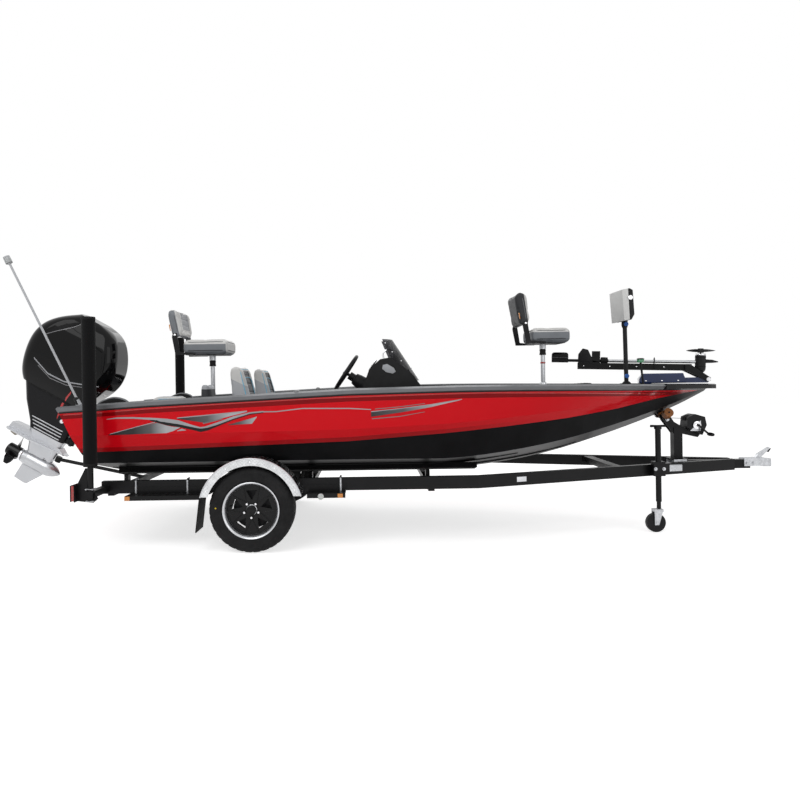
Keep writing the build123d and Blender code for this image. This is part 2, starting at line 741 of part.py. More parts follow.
# Drive leg: height, aft and fore ends, half-width, corner radius
leg_table = (
    (-26, -716, -150, 150, 60),
    (-190, -640, -150, 112, 50),
    (-360, -530, -150, 72, 40),
    (-500, -470, -168, 46, 34),
    (-665, -422, -184, 30, 24),
)
torpedo_radius = 70.0
hub_radius = 56.0
with BuildPart() as midsection:
    faces = [rounded_section(*row) for row in leg_table]
    loft(sections=faces, ruled=True)
    box((-160, steer_a), (-30, 30), (-56, -30))
    rod((steer_a, 0, -56), (steer_a, 0, -30), swivel_radius)
    rod((steer_a, 0, -415), (steer_a, 0, -40), 14)
    rod((steer_a, 0, -400), (steer_a, 0, -356), 34)
    box((-200, steer_a), (-30, 30), (-400, -356))
    plate_outline = [(-676, 84), (-650, 112), (-420, 122), (-200, 84), (-80, 20)]
    plate_outline += [(a, -y) for a, y in reversed(plate_outline)]
    plan_profile(plate_outline, (plate_b, plate_b + 12))
    side_profile(
        [(-676, plate_b), (-664, plate_b + 66), (-560, plate_b + 74), (-160, plate_b + 40), (-100, plate_b)],
        (-52, 52),
    )
    with BuildSketch(Plane.XY.offset(shaft_b)) as torpedo_half:
        with BuildLine():
            Polyline((-444, 0), (-444, hub_radius + 4), (-390, torpedo_radius), (-230, torpedo_radius))
            ThreePointArc((-230, torpedo_radius), (-108, 42), (-66, 8))
            Polyline((-66, 8), (-66, 0), (-444, 0))
        make_face()
    revolve(torpedo_half.sketch, Axis((0, 0, shaft_b), (1, 0, 0)))
    side_profile(
        [(-180, shaft_b - 40), (-300, shaft_b - 216), (-330, shaft_b - 222), (-432, shaft_b - 212),
         (-420, shaft_b - 40)],
        (-7, 7),
    )
    rod((-440, 0, shaft_b), (-590, 0, shaft_b), 10)
save(midsection, "midsection", outboard_pose)

# Cowl: height, aft and fore ends, half-width, corner radius
cowl_wall = 10.0
cowl_table = (
    (-25, -745, -140, 158, 76),
    (70, -790, -88, 202, 96),
    (200, -820, -22, 232, 110),
    (385, -832, -2, 238, 115),
    (550, -770, -62, 226, 110),
    (665, -655, -140, 190, 100),
    (735, -560, -300, 120, 70),
)
with BuildPart() as cowl:
    loft(sections=[rounded_section(*row) for row in cowl_table])
    inner = [(b, aft + cowl_wall, fore - cowl_wall, half - cowl_wall, corner) for b, aft, fore, half, corner
             in cowl_table[:-1]]
    loft(sections=[rounded_section(*row) for row in inner], mode=Mode.SUBTRACT)
save(cowl, "cowl", outboard_pose)

# Engine block under the cowl, standing on the drive leg's head plate
with BuildPart() as powerhead:
    box((-640, -200), (-140, 140), (-26, 520))
save(powerhead, "powerhead", outboard_pose)

# Propeller: hub and three blades set at an angle to the shaft
prop_a = -525.0
prop_radius = 168.0
with BuildPart() as propeller:
    rod((-450, 0, shaft_b), (-605, 0, shaft_b), hub_radius)
    rod((-449, 0, shaft_b), (-592, 0, shaft_b), 10.3, mode=Mode.SUBTRACT)
    for turn in (90, 210, 330):
        out = Vector(0, cos(radians(turn)), sin(radians(turn)))
        along = Vector(1, 0, 0)
        tangent = along.cross(out)
        face_normal = along * cos(radians(38)) + tangent * sin(radians(38))
        with BuildSketch(Plane(origin=(prop_a, 0, shaft_b), x_dir=out, z_dir=face_normal)) as blade:
            with Locations((104, 0)):
                Ellipse(prop_radius - 104, 62)
        extrude(blade.sketch, amount=3, both=True)
save(propeller, "propeller", outboard_pose)

# Trailer frame: main beams, cross members, converging tongue and the coupler tube
tyre_outer = 1130.0
beam_y = tyre_outer - 270.0
beam_width = 50.0
beam_height = 100.0
beam_top = 532.0
beam_mid = beam_top - beam_height / 2
beam_aft = 290.0
beam_bend = 3300.0
tongue_meet = 5800.0
tongue_end = 5960.0
tongue_y = 40.0
cross_top = 462.0
cross_size = 50.0
bunk_y = 500.0
bunk_width = 140.0
bunk_thick = 45.0
bunk_aft = 310.0
bunk_fore = 3340.0
bunk_tilt = deadrise


def bottom_z(y):
    """Height of the straight running surface of the hull bottom at a half-breadth."""
    return keel_z + y * tan(radians(deadrise))


bunk_low = bottom_z(bunk_y) - bunk_thick / cos(radians(bunk_tilt))
cross_stations = (330.0, 1100.0, 1900.0, 2900.0)
with BuildPart() as trailer_frame:
    for side in (-1, 1):
        beam((at(beam_aft), side * beam_y, beam_mid), (at(beam_bend), side * beam_y, beam_mid), beam_width, beam_height)
        beam(
            (at(beam_bend), side * beam_y, beam_mid),
            (at(tongue_meet), side * tongue_y, beam_mid),
            beam_width,
            beam_height,
        )
    for station in cross_stations:
        box(
            (at(station), at(station) + cross_size),
            (-beam_y, beam_y),
            (cross_top - cross_size, cross_top),
        )
        for side in (-1, 1):
            box(
                (at(station) + 8, at(station) + cross_size - 8),
                (side * bunk_y - 30, side * bunk_y + 30),
                (cross_top - 1, bunk_low - 8),
            )
    brace = 4590.0
    brace_y = beam_y - (beam_y - tongue_y) * (brace - beam_bend) / (tongue_meet - beam_bend)
    box((at(brace) - 40, at(brace) + 40), (-brace_y, brace_y), (beam_top - 60, beam_top - 5))
    box((at(tongue_meet - 420), at(tongue_end)), (-38, 38), (beam_top - 90, beam_top - 10))
save(trailer_frame, "trailer_frame")

# Carpeted bunks under the hull bottom
with BuildPart() as bunks:
    for side in (-1, 1):
        inner_y = bunk_y - bunk_width / 2
        outer_y = bunk_y + bunk_width / 2
        corners = [
            (side * inner_y, bottom_z(inner_y) - fit_gap),
            (side * outer_y, bottom_z(outer_y) - fit_gap),
            (side * outer_y, bottom_z(outer_y) - bunk_thick),
            (side * inner_y, bottom_z(inner_y) - bunk_thick),
        ]
        section_loft([(at(bunk_aft), corners), (at(bunk_fore), corners)])
save(bunks, "bunks")

# Side steps under the main beams, ahead of and behind the wheels
step_rows = ((520.0, 1105.0), (1940.0, 2240.0))
with BuildPart() as side_steps:
    for side in (-1, 1):
        for first, last in step_rows:
            low = beam_top - beam_height
            edge = side * (beam_y + beam_width / 2)
            y = sorted((edge, edge + side * 130))
            box((at(first), at(last)), y, (low - 6, low))
            lip = sorted((edge + side * 124, edge + side * 130))
            box((at(first), at(last)), lip, (low - 36, low))
            flange = sorted((edge, edge + side * 6))
            box((at(first), at(last)), flange, (low - 6, low + 50))
save(side_steps, "side_steps")

# Wheels, tyres and axle
tyre_width = 200.0
rim_radius = 196.0
flange_radius = 208.0
tyre_inner = tyre_outer - tyre_width
spindle_radius = 20.0
bearing_gap = 0.05
wheel_y = tyre_outer - tyre_width / 2
spoke_y = tyre_outer - 46.0


def wheel_point(y):
    """Point on the axle line."""
    return (axle_x, y, wheel_radius)


for name, side in (("right", -1), ("left", 1)):
    hub_plane = Plane(origin=wheel_point(0), x_dir=(1, 0, 0), z_dir=(0, side, 0))
    with BuildPart() as tyre:
        with BuildSketch(Plane(origin=wheel_point(0), x_dir=(0, side, 0), z_dir=(-side, 0, 0))) as tyre_section:
            with BuildLine():
                Polyline(
                    (tyre_inner + 22, rim_radius),
                    (tyre_inner, 232),
                    (tyre_inner - 4, 270),
                    (tyre_inner + 12, 312),
                    (tyre_inner + 34, wheel_radius - 1),
                    (tyre_inner + 60, wheel_radius),
                    (tyre_outer - 60, wheel_radius),
                    (tyre_outer - 34, wheel_radius - 1),
                    (tyre_outer - 12, 312),
                    (tyre_outer + 4, 270),
                    (tyre_outer, 232),
                    (tyre_outer - 22, rim_radius),
                    close=True,
                )
            make_face()
        revolve(tyre_section.sketch, Axis(wheel_point(0), (0, 1, 0)))
    save(tyre, f"tyre_{name}")
    with BuildPart() as wheel:
        with BuildSketch(hub_plane.offset(tyre_inner + 20)) as barrel:
            Circle(rim_radius)
            Circle(rim_radius - 8, mode=Mode.SUBTRACT)
        extrude(barrel.sketch, amount=tyre_width - 40)
        with BuildSketch(hub_plane.offset(spoke_y - 14)) as face:
            Circle(rim_radius - 4)
            with PolarLocations(124, 5, start_angle=90):
                RegularPolygon(50, 3, rotation=180, mode=Mode.SUBTRACT)
            Circle(spindle_radius + bearing_gap, mode=Mode.SUBTRACT)
        extrude(face.sketch, amount=20)
        with BuildSketch(hub_plane.offset(spoke_y - 80)) as hub:
            Circle(62)
            Circle(spindle_radius + bearing_gap, mode=Mode.SUBTRACT)
        extrude(hub.sketch, amount=80)
        with BuildSketch(hub_plane.offset(spoke_y)) as cap:
            Circle(36)
        extrude(cap.sketch, amount=44)
        with BuildSketch(hub_plane.offset(spoke_y)) as cap_bore:
            Circle(spindle_radius + bearing_gap)
        extrude(cap_bore.sketch, amount=20, mode=Mode.SUBTRACT)
    save(wheel, f"wheel_{name}")

axle_radius = 27.0
spring_y = beam_y
leaf_width = 44.0
with BuildPart() as axle:
    shoulder = spoke_y - 80 - 1
    rod(wheel_point(-shoulder), wheel_point(shoulder), axle_radius)
    rod(wheel_point(-(spoke_y + 12)), wheel_point(spoke_y + 12), spindle_radius)
    for side in (-1, 1):
        rod(wheel_point(side * (shoulder - 40)), wheel_point(side * shoulder), 50)
save(axle, "axle")

# Leaf springs between the hangers, seated on the axle
spring_half = 330.0
spring_seat = wheel_radius + axle_radius
spring_rise = beam_top - beam_height - spring_seat - 40
with BuildPart() as leaf_springs:
    for side in (-1, 1):
        for leaf, share in enumerate((1.0, 0.72, 0.46)):
            half = spring_half * share
            rise = spring_rise * share * share
            low = spring_seat + fit_gap + 8 * (2 - leaf)
            with BuildSketch(Plane.XZ.offset(-(side * spring_y + leaf_width / 2))) as leaf_side:
                with BuildLine():
                    ThreePointArc((axle_x - half, low + rise), (axle_x, low), (axle_x + half, low + rise))
                    Line((axle_x + half, low + rise), (axle_x + half, low + rise + 8))
                    ThreePointArc((axle_x + half, low + rise + 8), (axle_x, low + 8), (axle_x - half, low + rise + 8))
                    Line((axle_x - half, low + rise + 8), (axle_x - half, low + rise))
                make_face()
            extrude(leaf_side.sketch, amount=leaf_width)
        y = (side * spring_y - leaf_width / 2, side * spring_y + leaf_width / 2)
        hanger_low = spring_seat + spring_rise + 8
        for end in (-1, 1):
            x = sorted((axle_x + end * (spring_half - 34), axle_x + end * (spring_half + 14)))
            box(x, y, (hanger_low, beam_top - beam_height))
save(leaf_springs, "leaf_springs")

# Tread-plate fenders, round-topped, on a foot from the main beam
fender_radius = 400.0
fender_sheet = 4.0
fender_y = (tyre_outer - 185.0, tyre_outer + 15.0)
skirt_depth = 56.0
fender_foot_z = beam_top - beam_height + 5
foot_reach = ((fender_radius - fender_sheet) ** 2 - (fender_foot_z + 25 - wheel_radius) ** 2) ** 0.5
flap_top = (fender_radius**2 - (fender_foot_z + 30 - wheel_radius) ** 2) ** 0.5
flap_foot = (fender_radius**2 - (fender_foot_z - wheel_radius) ** 2) ** 0.5
with BuildPart() as fenders:
    with BuildSketch(Plane.XZ.offset(-fender_y[1])) as arch:
        with Locations((axle_x, wheel_radius)):
            Circle(fender_radius)
            Circle(fender_radius - fender_sheet, mode=Mode.SUBTRACT)
        with Locations((axle_x, fender_foot_z - fender_radius)):
            Rectangle(3 * fender_radius, 2 * fender_radius, mode=Mode.SUBTRACT)
    extrude(arch.sketch, amount=fender_y[1] - fender_y[0])
    with BuildSketch(Plane.XZ.offset(-fender_y[1])) as skirt:
        with Locations((axle_x, wheel_radius)):
            Circle(fender_radius)
            Circle(fender_radius - skirt_depth, mode=Mode.SUBTRACT)
        with Locations((axle_x, fender_foot_z - fender_radius)):
            Rectangle(3 * fender_radius, 2 * fender_radius, mode=Mode.SUBTRACT)
    extrude(skirt.sketch, amount=fender_sheet)
    for end in (-1, 1):
        x = sorted((axle_x + end * (foot_reach - 12), axle_x + end * (foot_reach + 2)))
        box(x, (beam_y + beam_width / 2, fender_y[1] - 20), (fender_foot_z + 5, fender_foot_z + 45))
    mirror(about=Plane.XZ)
save(fenders, "fenders")

with BuildPart() as mudflaps:
    for side in (-1, 1):
        flap_y = side * (tyre_outer - 105)
        y = (flap_y - 105, flap_y + 105)
        side_profile(
            [
                (axle_x - flap_top - 0.7, fender_foot_z + 30),
                (axle_x - flap_foot - 0.7, fender_foot_z),
                (axle_x - flap_foot - 34, 165),
                (axle_x - flap_foot - 42, 165),
                (axle_x - flap_foot - 9, fender_foot_z),
                (axle_x - flap_top - 9, fender_foot_z + 30),
            ],
            y,
        )
save(mudflaps, "mudflaps")

# Guide posts, their brackets and the lamp boards at the rear of the beams
post_station = 330.0
post_y = tyre_outer + 50.0
post_radius = 50.0
post_low = 690.0
post_top = 1815.0
with BuildPart() as guide_posts:
    for side in (-1, 1):
        rod((at(post_station), side * post_y, post_low), (at(post_station), side * post_y, post_top), post_radius, 22.3)
        rod(
            (at(post_station), side * post_y, post_top - 12),
            (at(post_station), side * post_y, post_top),
            post_radius - 1,
        )
save(guide_posts, "guide_posts")

with BuildPart() as post_brackets:
    for side in (-1, 1):
        y = side * post_y
        rod((at(post_station), y, 440), (at(post_station), y, post_top - 12.3), 22)
        arm = sorted((side * (beam_y + beam_width / 2), side * (post_y + 25)))
        box((at(post_station) - 25, at(post_station) + 25), arm, (452, 502))
        side_profile(
            [
                (at(post_station) - 38, 676),
                (at(post_station) - 98, 560),
                (at(post_station) - 98, 430),
                (at(post_station) + 20, 416),
                (at(post_station) + 56, 446),
                (at(post_station) + 20, 500),
                (at(post_station) + 20, 676),
            ],
            (y - 4, y + 4),
        )
        backing = sorted((y - side * 90, y + side * 60))
        box((at(post_station) - 102, at(post_station) - 97), backing, (430, 556))
save(post_brackets, "post_brackets")

with BuildPart() as lamps:
    for side in (-1, 1):
        y = side * (post_y - 15)
        box((at(post_station) - 132, at(post_station) - 102), (y - 62, y + 62), (436, 550))
        for first, last in step_rows:
            edge = side * (beam_y + beam_width / 2 + 130)
            reflector = sorted((edge, edge + side * 8))
            place = first + 22 if first < axle_station else last - 40
            box((at(place) - 20, at(place) + 20), reflector, (beam_top - beam_height - 34, beam_top - beam_height - 2))
save(lamps, "lamps")

# Winch stand, bow rollers, winch and strap
stand_station = hull_length - 340.0
roller_station = hull_length - 455.0
roller_radius = 42.0
roller_y = (51.0, 112.0)
roller_pin = 8.0
stem_z = hull_value(roller_station, 1)
stem_slope = (hull_value(roller_station + 30, 1) - hull_value(roller_station - 30, 1)) / 60
stem_rise = tan(radians(hull_value(roller_station, 2)))
roller_drop = (roller_radius + 7) * (1 + stem_slope**2 + stem_rise**2) ** 0.5
cheek_y = (26.0, 31.0)


def roller_point(y):
    """Point on the axis of a bow roller, parallel with the hull bottom above it."""
    return (at(roller_station), y, stem_z - roller_drop + abs(y) * stem_rise)


with BuildPart() as winch_stand:
    box((at(stand_station - 75), at(stand_station + 75)), (-70, 70), (beam_top, beam_top + 10))
    box((at(stand_station - 40), at(stand_station + 40)), (-38, 38), (beam_top, 830))
    for side in (-1, 1):
        side_profile(
            [
                (at(stand_station - 145), 945),
                (at(stand_station - 80), 950),
                (at(stand_station - 33), 880),
                (at(stand_station + 65), 824),
                (at(stand_station + 205), 760),
                (at(stand_station + 185), 735),
                (at(stand_station + 40), 770),
                (at(stand_station - 40), 770),
                (at(stand_station - 135), 900),
            ],
            sorted((side * cheek_y[0], side * cheek_y[1])),
        )
        rod(roller_point(side * cheek_y[0]), roller_point(side * (roller_y[1] + 4)), roller_pin)
    side_profile([(at(stand_station - 33), 800), (at(stand_station + 65), 820), (at(stand_station + 203), 757), (at(stand_station + 185), 735), (at(stand_station + 40), 770)], (-26, 26))
save(winch_stand, "winch_stand")

with BuildPart() as bow_rollers:
    for side in (-1, 1):
        start = roller_point(side * roller_y[0])
        end = roller_point(side * roller_y[1])
        rod(start, end, roller_radius, roller_pin + fit_gap)
save(bow_rollers, "bow_rollers")

with BuildPart() as winch:
    side_profile(
        [(at(stand_station + 67), 829), (at(stand_station + 79), 925), (at(stand_station + 145), 952), (at(stand_station + 235), 925), (at(stand_station + 250), 850), (at(stand_station + 209), 758.6)],
        (-72, 72),
    )
    rod((at(stand_station + 155), -72, 850), (at(stand_station + 155), -120, 850), 12)
    rod((at(stand_station + 155), -114, 850), (at(stand_station + 245), -114, 770), 9)
    rod((at(stand_station + 245), -108, 770), (at(stand_station + 245), -190, 770), 14)
save(winch, "winch")

with BuildPart() as winch_strap:
    side_profile([(at(stand_station - 171), 921), (at(stand_station - 171), 924), (at(stand_station + 63), 911), (at(stand_station + 63), 908)], (-24, 24))
save(winch_strap, "winch_strap")

# Coupler with its ball socket and latch lever
ball_radius = 25.4
coupler_x = tongue_end + 150.0
with BuildPart() as coupler:
    box((at(tongue_end - 60), at(coupler_x - 10)), (-48, 48), (beam_top - 70, beam_top + 4))
    rod((at(coupler_x), 0, beam_top - 74), (at(coupler_x), 0, beam_top - 6), 58)
    box((at(tongue_end - 61), at(tongue_end + 0.0)), (-38, 38), (beam_top - 90, beam_top - 10), Mode.SUBTRACT)
    with Locations((at(coupler_x), 0, beam_top - 62)):
        Cylinder(ball_radius + 0.4, 60, mode=Mode.SUBTRACT)
    side_profile(
        [(at(coupler_x - 90), beam_top), (at(coupler_x - 40), beam_top + 4), (at(coupler_x + 50), beam_top + 90),
         (at(coupler_x + 40), beam_top + 100), (at(coupler_x - 60), beam_top + 40)],
        (-16, 16),
    )
save(coupler, "coupler")

# Tongue jack: tube on the side of the tongue, castoring fork and wheel on the floor
jack_x = at(4950)
jack_y = -395.0
jack_wheel_radius = 82.0
jack_trail = 32.0


def level_z(x, z):
    """Height on the level drawing of a point that stands at height z once nose-up."""
    return wheel_radius + (z - wheel_radius) * cos(radians(nose_up)) - (x - axle_x) * sin(radians(nose_up))


def tongue_face(x):
    """Half-breadth of the outer face of the converging beams at an x."""
    slope = (beam_y - tongue_y) / (tongue_meet - beam_bend)
    return beam_y - slope * (x - at(beam_bend)) + beam_width / 2


jack_wheel_x = jack_x - jack_trail
jack_wheel_z = level_z(jack_wheel_x, jack_wheel_radius)
jack_low = jack_wheel_z + jack_wheel_radius + 40
with BuildPart() as jack:
    rod((jack_x, jack_y, jack_low + 60), (jack_x, jack_y, 845), 24)
    rod((jack_x, jack_y, jack_low), (jack_x, jack_y, jack_low + 80), 18)
    rod((jack_x, jack_y, 845), (jack_x, jack_y, 862), 30)
    rod((jack_x - 60, jack_y, 872), (jack_x + 70, jack_y, 872), 8)
    rod((jack_x, jack_y, 850), (jack_x, jack_y, 880), 12)
    plan_profile(
        [
            (jack_x - 50, -tongue_face(jack_x - 50) - fit_gap),
            (jack_x + 50, -tongue_face(jack_x + 50) - fit_gap),
            (jack_x + 50, jack_y - 30),
            (jack_x - 50, jack_y - 30),
        ],
        (beam_top - 95, beam_top + 30),
    )
    rod((jack_x, jack_y, jack_low - 30), (jack_x, jack_y, jack_low + 20), 10)
save(jack, "jack")

with BuildPart() as jack_fork:
    crown = jack_wheel_z + jack_wheel_radius + 14
    box((jack_wheel_x - 20, jack_x + 26), (jack_y - 34, jack_y + 34), (crown, crown + 22))
    for side in (-1, 1):
        y = sorted((jack_y + side * 28, jack_y + side * 34))
        side_profile(
            [
                (jack_wheel_x - 18, jack_wheel_z - 18),
                (jack_wheel_x + 18, jack_wheel_z - 18),
                (jack_x + 26, crown + 22),
                (jack_wheel_x - 20, crown + 22),
            ],
            y,
        )
    rod((jack_wheel_x, jack_y - 38, jack_wheel_z), (jack_wheel_x, jack_y + 38, jack_wheel_z), 8)
    rod((jack_x, jack_y, crown - 1), (jack_x, jack_y, crown + 23), 10.3, mode=Mode.SUBTRACT)
save(jack_fork, "jack_fork")

with BuildPart() as jack_wheel:
    rod((jack_wheel_x, jack_y - 20, jack_wheel_z), (jack_wheel_x, jack_y + 20, jack_wheel_z), jack_wheel_radius, 8.3)
save(jack_wheel, "jack_wheel")

# Strut that props the drive leg off the rear cross member while it is towed
saver_pad = 27.0
saver_pad_b = -570.0
saver_pad_a = leg_table[3][2] + saver_pad - 1.2
leg_point = Vector(tilt_pin.X, 0, tilt_pin.Z) + Vector(
    cos(radians(towed_tilt)) * saver_pad_a + sin(radians(towed_tilt)) * saver_pad_b,
    0,
    -sin(radians(towed_tilt)) * saver_pad_a + cos(radians(towed_tilt)) * saver_pad_b,
)
strut_end = Vector(at(cross_stations[0]) - 4, 0, cross_top - cross_size / 2)
with BuildPart() as transom_saver:
    run = (strut_end - leg_point).normalized()
    rod(tuple(leg_point + run * 20), tuple(strut_end), 16)
    pad_up = Vector(sin(radians(towed_tilt)), 0, cos(radians(towed_tilt)))
    rod(tuple(leg_point - pad_up * 26), tuple(leg_point + pad_up * 26), saver_pad)
save(transom_saver, "transom_saver")
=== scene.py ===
import bpy
import bmesh
from math import atan2, cos, pi, radians, sin
from mathutils import Matrix, Vector
from mathutils.bvhtree import BVHTree


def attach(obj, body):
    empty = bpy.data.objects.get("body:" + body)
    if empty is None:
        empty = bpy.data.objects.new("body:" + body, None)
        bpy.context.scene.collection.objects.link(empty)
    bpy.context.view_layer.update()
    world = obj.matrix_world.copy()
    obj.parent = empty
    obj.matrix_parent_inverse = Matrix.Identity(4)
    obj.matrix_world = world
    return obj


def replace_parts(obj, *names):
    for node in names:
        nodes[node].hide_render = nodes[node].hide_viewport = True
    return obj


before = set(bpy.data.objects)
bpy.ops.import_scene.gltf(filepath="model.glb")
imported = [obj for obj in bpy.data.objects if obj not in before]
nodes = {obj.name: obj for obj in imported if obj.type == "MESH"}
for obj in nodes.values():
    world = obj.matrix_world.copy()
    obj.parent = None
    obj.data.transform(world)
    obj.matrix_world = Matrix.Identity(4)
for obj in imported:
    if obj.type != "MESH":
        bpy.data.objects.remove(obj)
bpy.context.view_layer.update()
ROOT = "boat_on_trailer"

# ---------------------------------------------------------------- places
STERN = -2.5984                      # x of station 0, the foot of the transom
AXLE_STATION, HUB_HEIGHT = 1524, 328  # road wheels, in millimetres
AXLE = STERN + AXLE_STATION / 1000
HUB = HUB_HEIGHT / 1000
POST_Y, BEAM_Y, SPRING_Y, FENDER_Y = 1180, 885, 860, 1143
NOSE_UP = radians(0.85)
PIVOT = Matrix.Translation((AXLE, 0, HUB))
LEVEL = PIVOT @ Matrix.Rotation(-NOSE_UP, 4, "Y") @ PIVOT.inverted()
TILT_PIN = Vector((STERN - 0.072, 0, 1.044))
MOTOR = LEVEL @ Matrix.Translation(TILT_PIN) @ Matrix.Rotation(radians(29), 4, "Y")
BOW_PIVOT = Vector((STERN + 5.590, 0, 1.272))
BOW_YAW = radians(-16)
BOW_BASE = LEVEL @ Matrix.Translation((BOW_PIVOT.x, 0, 0)) @ Matrix.Rotation(BOW_YAW, 4, "Z")
BOW_MOTOR = (LEVEL @ Matrix.Translation(BOW_PIVOT) @ Matrix.Rotation(BOW_YAW, 4, "Z")
             @ Matrix.Rotation(radians(2), 4, "Y"))
WORLD = Matrix.Identity(4)


def st(station, y, z):
    """Point of the level drawing from a station, a breadth and a height in millimetres."""
    return Vector((STERN + station / 1000, y / 1000, z / 1000))


# Camera as the photograph was taken: level and square on, in pixels and millimetres
FRAME = 800
VANISH_X, VANISH_Y = 370, 381
EYE_STATION, EYE_HEIGHT = 2430, 1315
EYE_BACK = 6.1                        # metres from the centre plane
PX, PX_MM = 1.53e-3, 1.53             # breadth of a pixel at a metre, in metres and millimetres
EYE = Vector((STERN + EYE_STATION / 1000, -EYE_BACK, EYE_HEIGHT / 1000))
cam_data = bpy.data.cameras.new("camera")
cam = bpy.data.objects.new("camera", cam_data)
bpy.context.collection.objects.link(cam)
cam.location = EYE
cam.rotation_euler = (radians(90), 0, 0)
SENSOR = 36
cam_data.sensor_width = SENSOR
cam_data.lens = SENSOR / (FRAME * PX)
cam_data.shift_x = (FRAME / 2 - VANISH_X) / FRAME
cam_data.shift_y = (VANISH_Y - FRAME / 2) / FRAME
bpy.context.scene.camera = cam


def ray(px, py):
    """Direction of the sight line through a pixel of the picture."""
    return Vector(((px - VANISH_X) * PX, 1, (VANISH_Y - py) * PX)).normalized()


# ---------------------------------------------------------------- mesh tools
def finish_mesh(bm, name, mat, body, where=LEVEL, crease=35, bevel=0.0, steps=2):
    """Turn a bmesh in a local frame into a riding object."""
    if bevel:
        bm.normal_update()
        sharp = [e for e in bm.edges if e.is_manifold and e.calc_face_angle(0) > radians(30)]
        bmesh.ops.bevel(bm, geom=sharp, offset=bevel, segments=steps, affect="EDGES", profile=0.6,
                        clamp_overlap=True)
    bm.transform(where)
    if where.determinant() < 0:
        bmesh.ops.reverse_faces(bm, faces=bm.faces)
    bmesh.ops.recalc_face_normals(bm, faces=bm.faces)
    bm.normal_update()
    mesh = bpy.data.meshes.new(name)
    for face in bm.faces:
        face.smooth = True
    for edge in bm.edges:
        if edge.is_manifold and edge.calc_face_angle(0) > radians(crease):
            edge.smooth = False
    bm.to_mesh(mesh)
    bm.free()
    obj = bpy.data.objects.new(name, mesh)
    bpy.context.collection.objects.link(obj)
    if mat is not None:
        obj.data.materials.append(mat)
    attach(obj, body)
    return obj


def loft(name, loops, mat, body, where=LEVEL, caps=True, **kw):
    """Skin through loops of points, each with the same count."""
    bm = bmesh.new()
    rings = [[bm.verts.new(p) for p in loop] for loop in loops]
    count = len(rings[0])
    for a, b in zip(rings, rings[1:]):
        for i in range(count):
            j = (i + 1) % count
            bm.faces.new((a[i], a[j], b[j], b[i]))
    if caps:
        bm.faces.new(list(reversed(rings[0])))
        bm.faces.new(rings[-1])
    return finish_mesh(bm, name, mat, body, where, **kw)


def slab(name, outline, low, high, mat, body, where=LEVEL, across="y", **kw):
    """Outline of (x, z) points extruded between two y values, or (x, y) points between two z values."""
    if across == "y":
        loops = [[Vector((p[0], v, p[1])) for p in outline] for v in (low, high)]
    else:
        loops = [[Vector((p[0], p[1], v)) for p in outline] for v in (low, high)]
    return loft(name, loops, mat, body, where, **kw)


def basis(direction):
    """Two unit vectors square to a direction."""
    d = direction.normalized()
    helper = Vector((0, 0, 1)) if abs(d.z) < 0.9 else Vector((1, 0, 0))
    u = d.cross(helper).normalized()
    return u, d.cross(u).normalized()


def lathe(name, profile, origin, axis, mat, body, where=LEVEL, steps=40, **kw):
    """Turned piece: profile of (radius, distance along the axis)."""
    axis = Vector(axis).normalized()
    u, v = basis(axis)
    loops = []
    for radius, along in profile:
        centre = Vector(origin) + axis * along
        loops.append([centre + (u * cos(2 * pi * k / steps) + v * sin(2 * pi * k / steps)) * max(radius, 1e-5)
                      for k in range(steps)])
    return loft(name, loops, mat, body, where, **kw)


def smooth_path(points, per=8):
    """Points along a Catmull-Rom curve."""
    pts = [Vector(p) for p in points]
    pts = [pts[0] * 2 - pts[1]] + pts + [pts[-1] * 2 - pts[-2]]
    out = []
    for i in range(1, len(pts) - 2):
        a, b, c, d = pts[i - 1:i + 3]
        for k in range(per):
            t = k / per
            out.append(0.5 * ((2 * b) + (c - a) * t + (2 * a - 5 * b + 4 * c - d) * t * t
                              + (3 * b - a - 3 * c + d) * t ** 3))
    out.append(pts[-2])
    return out


def tube(name, points, radius, mat, body, where=LEVEL, sides=12, curved=False, flat=1.0, **kw):
    """Bar along a path; radius may be one number or one a point."""
    path = smooth_path(points) if curved else [Vector(p) for p in points]
    radii = radius if isinstance(radius, (list, tuple)) else [radius] * len(path)
    if len(radii) != len(path):
        radii = [radii[min(len(radii) - 1, int(i * len(radii) / len(path)))] for i in range(len(path))]
    loops = []
    u = None
    for i, p in enumerate(path):
        ahead = path[min(i + 1, len(path) - 1)] - path[max(i - 1, 0)]
        if u is None:
            u, v = basis(ahead)
        else:
            u = (u - ahead.normalized() * u.dot(ahead.normalized())).normalized()
            v = ahead.normalized().cross(u)
        loops.append([p + (u * cos(2 * pi * k / sides) + v * flat * sin(2 * pi * k / sides)) * radii[i]
                      for k in range(sides)])
    return loft(name, loops, mat, body, where, **kw)


def block(name, low, high, mat, body, where=LEVEL, **kw):
    """Bevelled block between two corners."""
    outline = [(low[0], low[2]), (high[0], low[2]), (high[0], high[2]), (low[0], high[2])]
    return slab(name, outline, low[1], high[1], mat, body, where, **kw)


def join(name, pieces):
    """Join pieces of one body into one object."""
    bpy.ops.object.select_all(action="DESELECT")
    for piece in pieces:
        piece.select_set(True)
    bpy.context.view_layer.objects.active = pieces[0]
    bpy.ops.object.join()
    pieces[0].name = name
    return pieces[0]


def surface_of(names):
    """Search tree of the world-space surface of CAD nodes or pieces."""
    verts, faces = [], []
    for name in names:
        obj = nodes[name] if isinstance(name, str) else name
        base = len(verts)
        verts += [obj.matrix_world @ v.co for v in obj.data.vertices]
        faces += [[base + i for i in p.vertices] for p in obj.data.polygons]
    return BVHTree.FromPolygons(verts, faces)


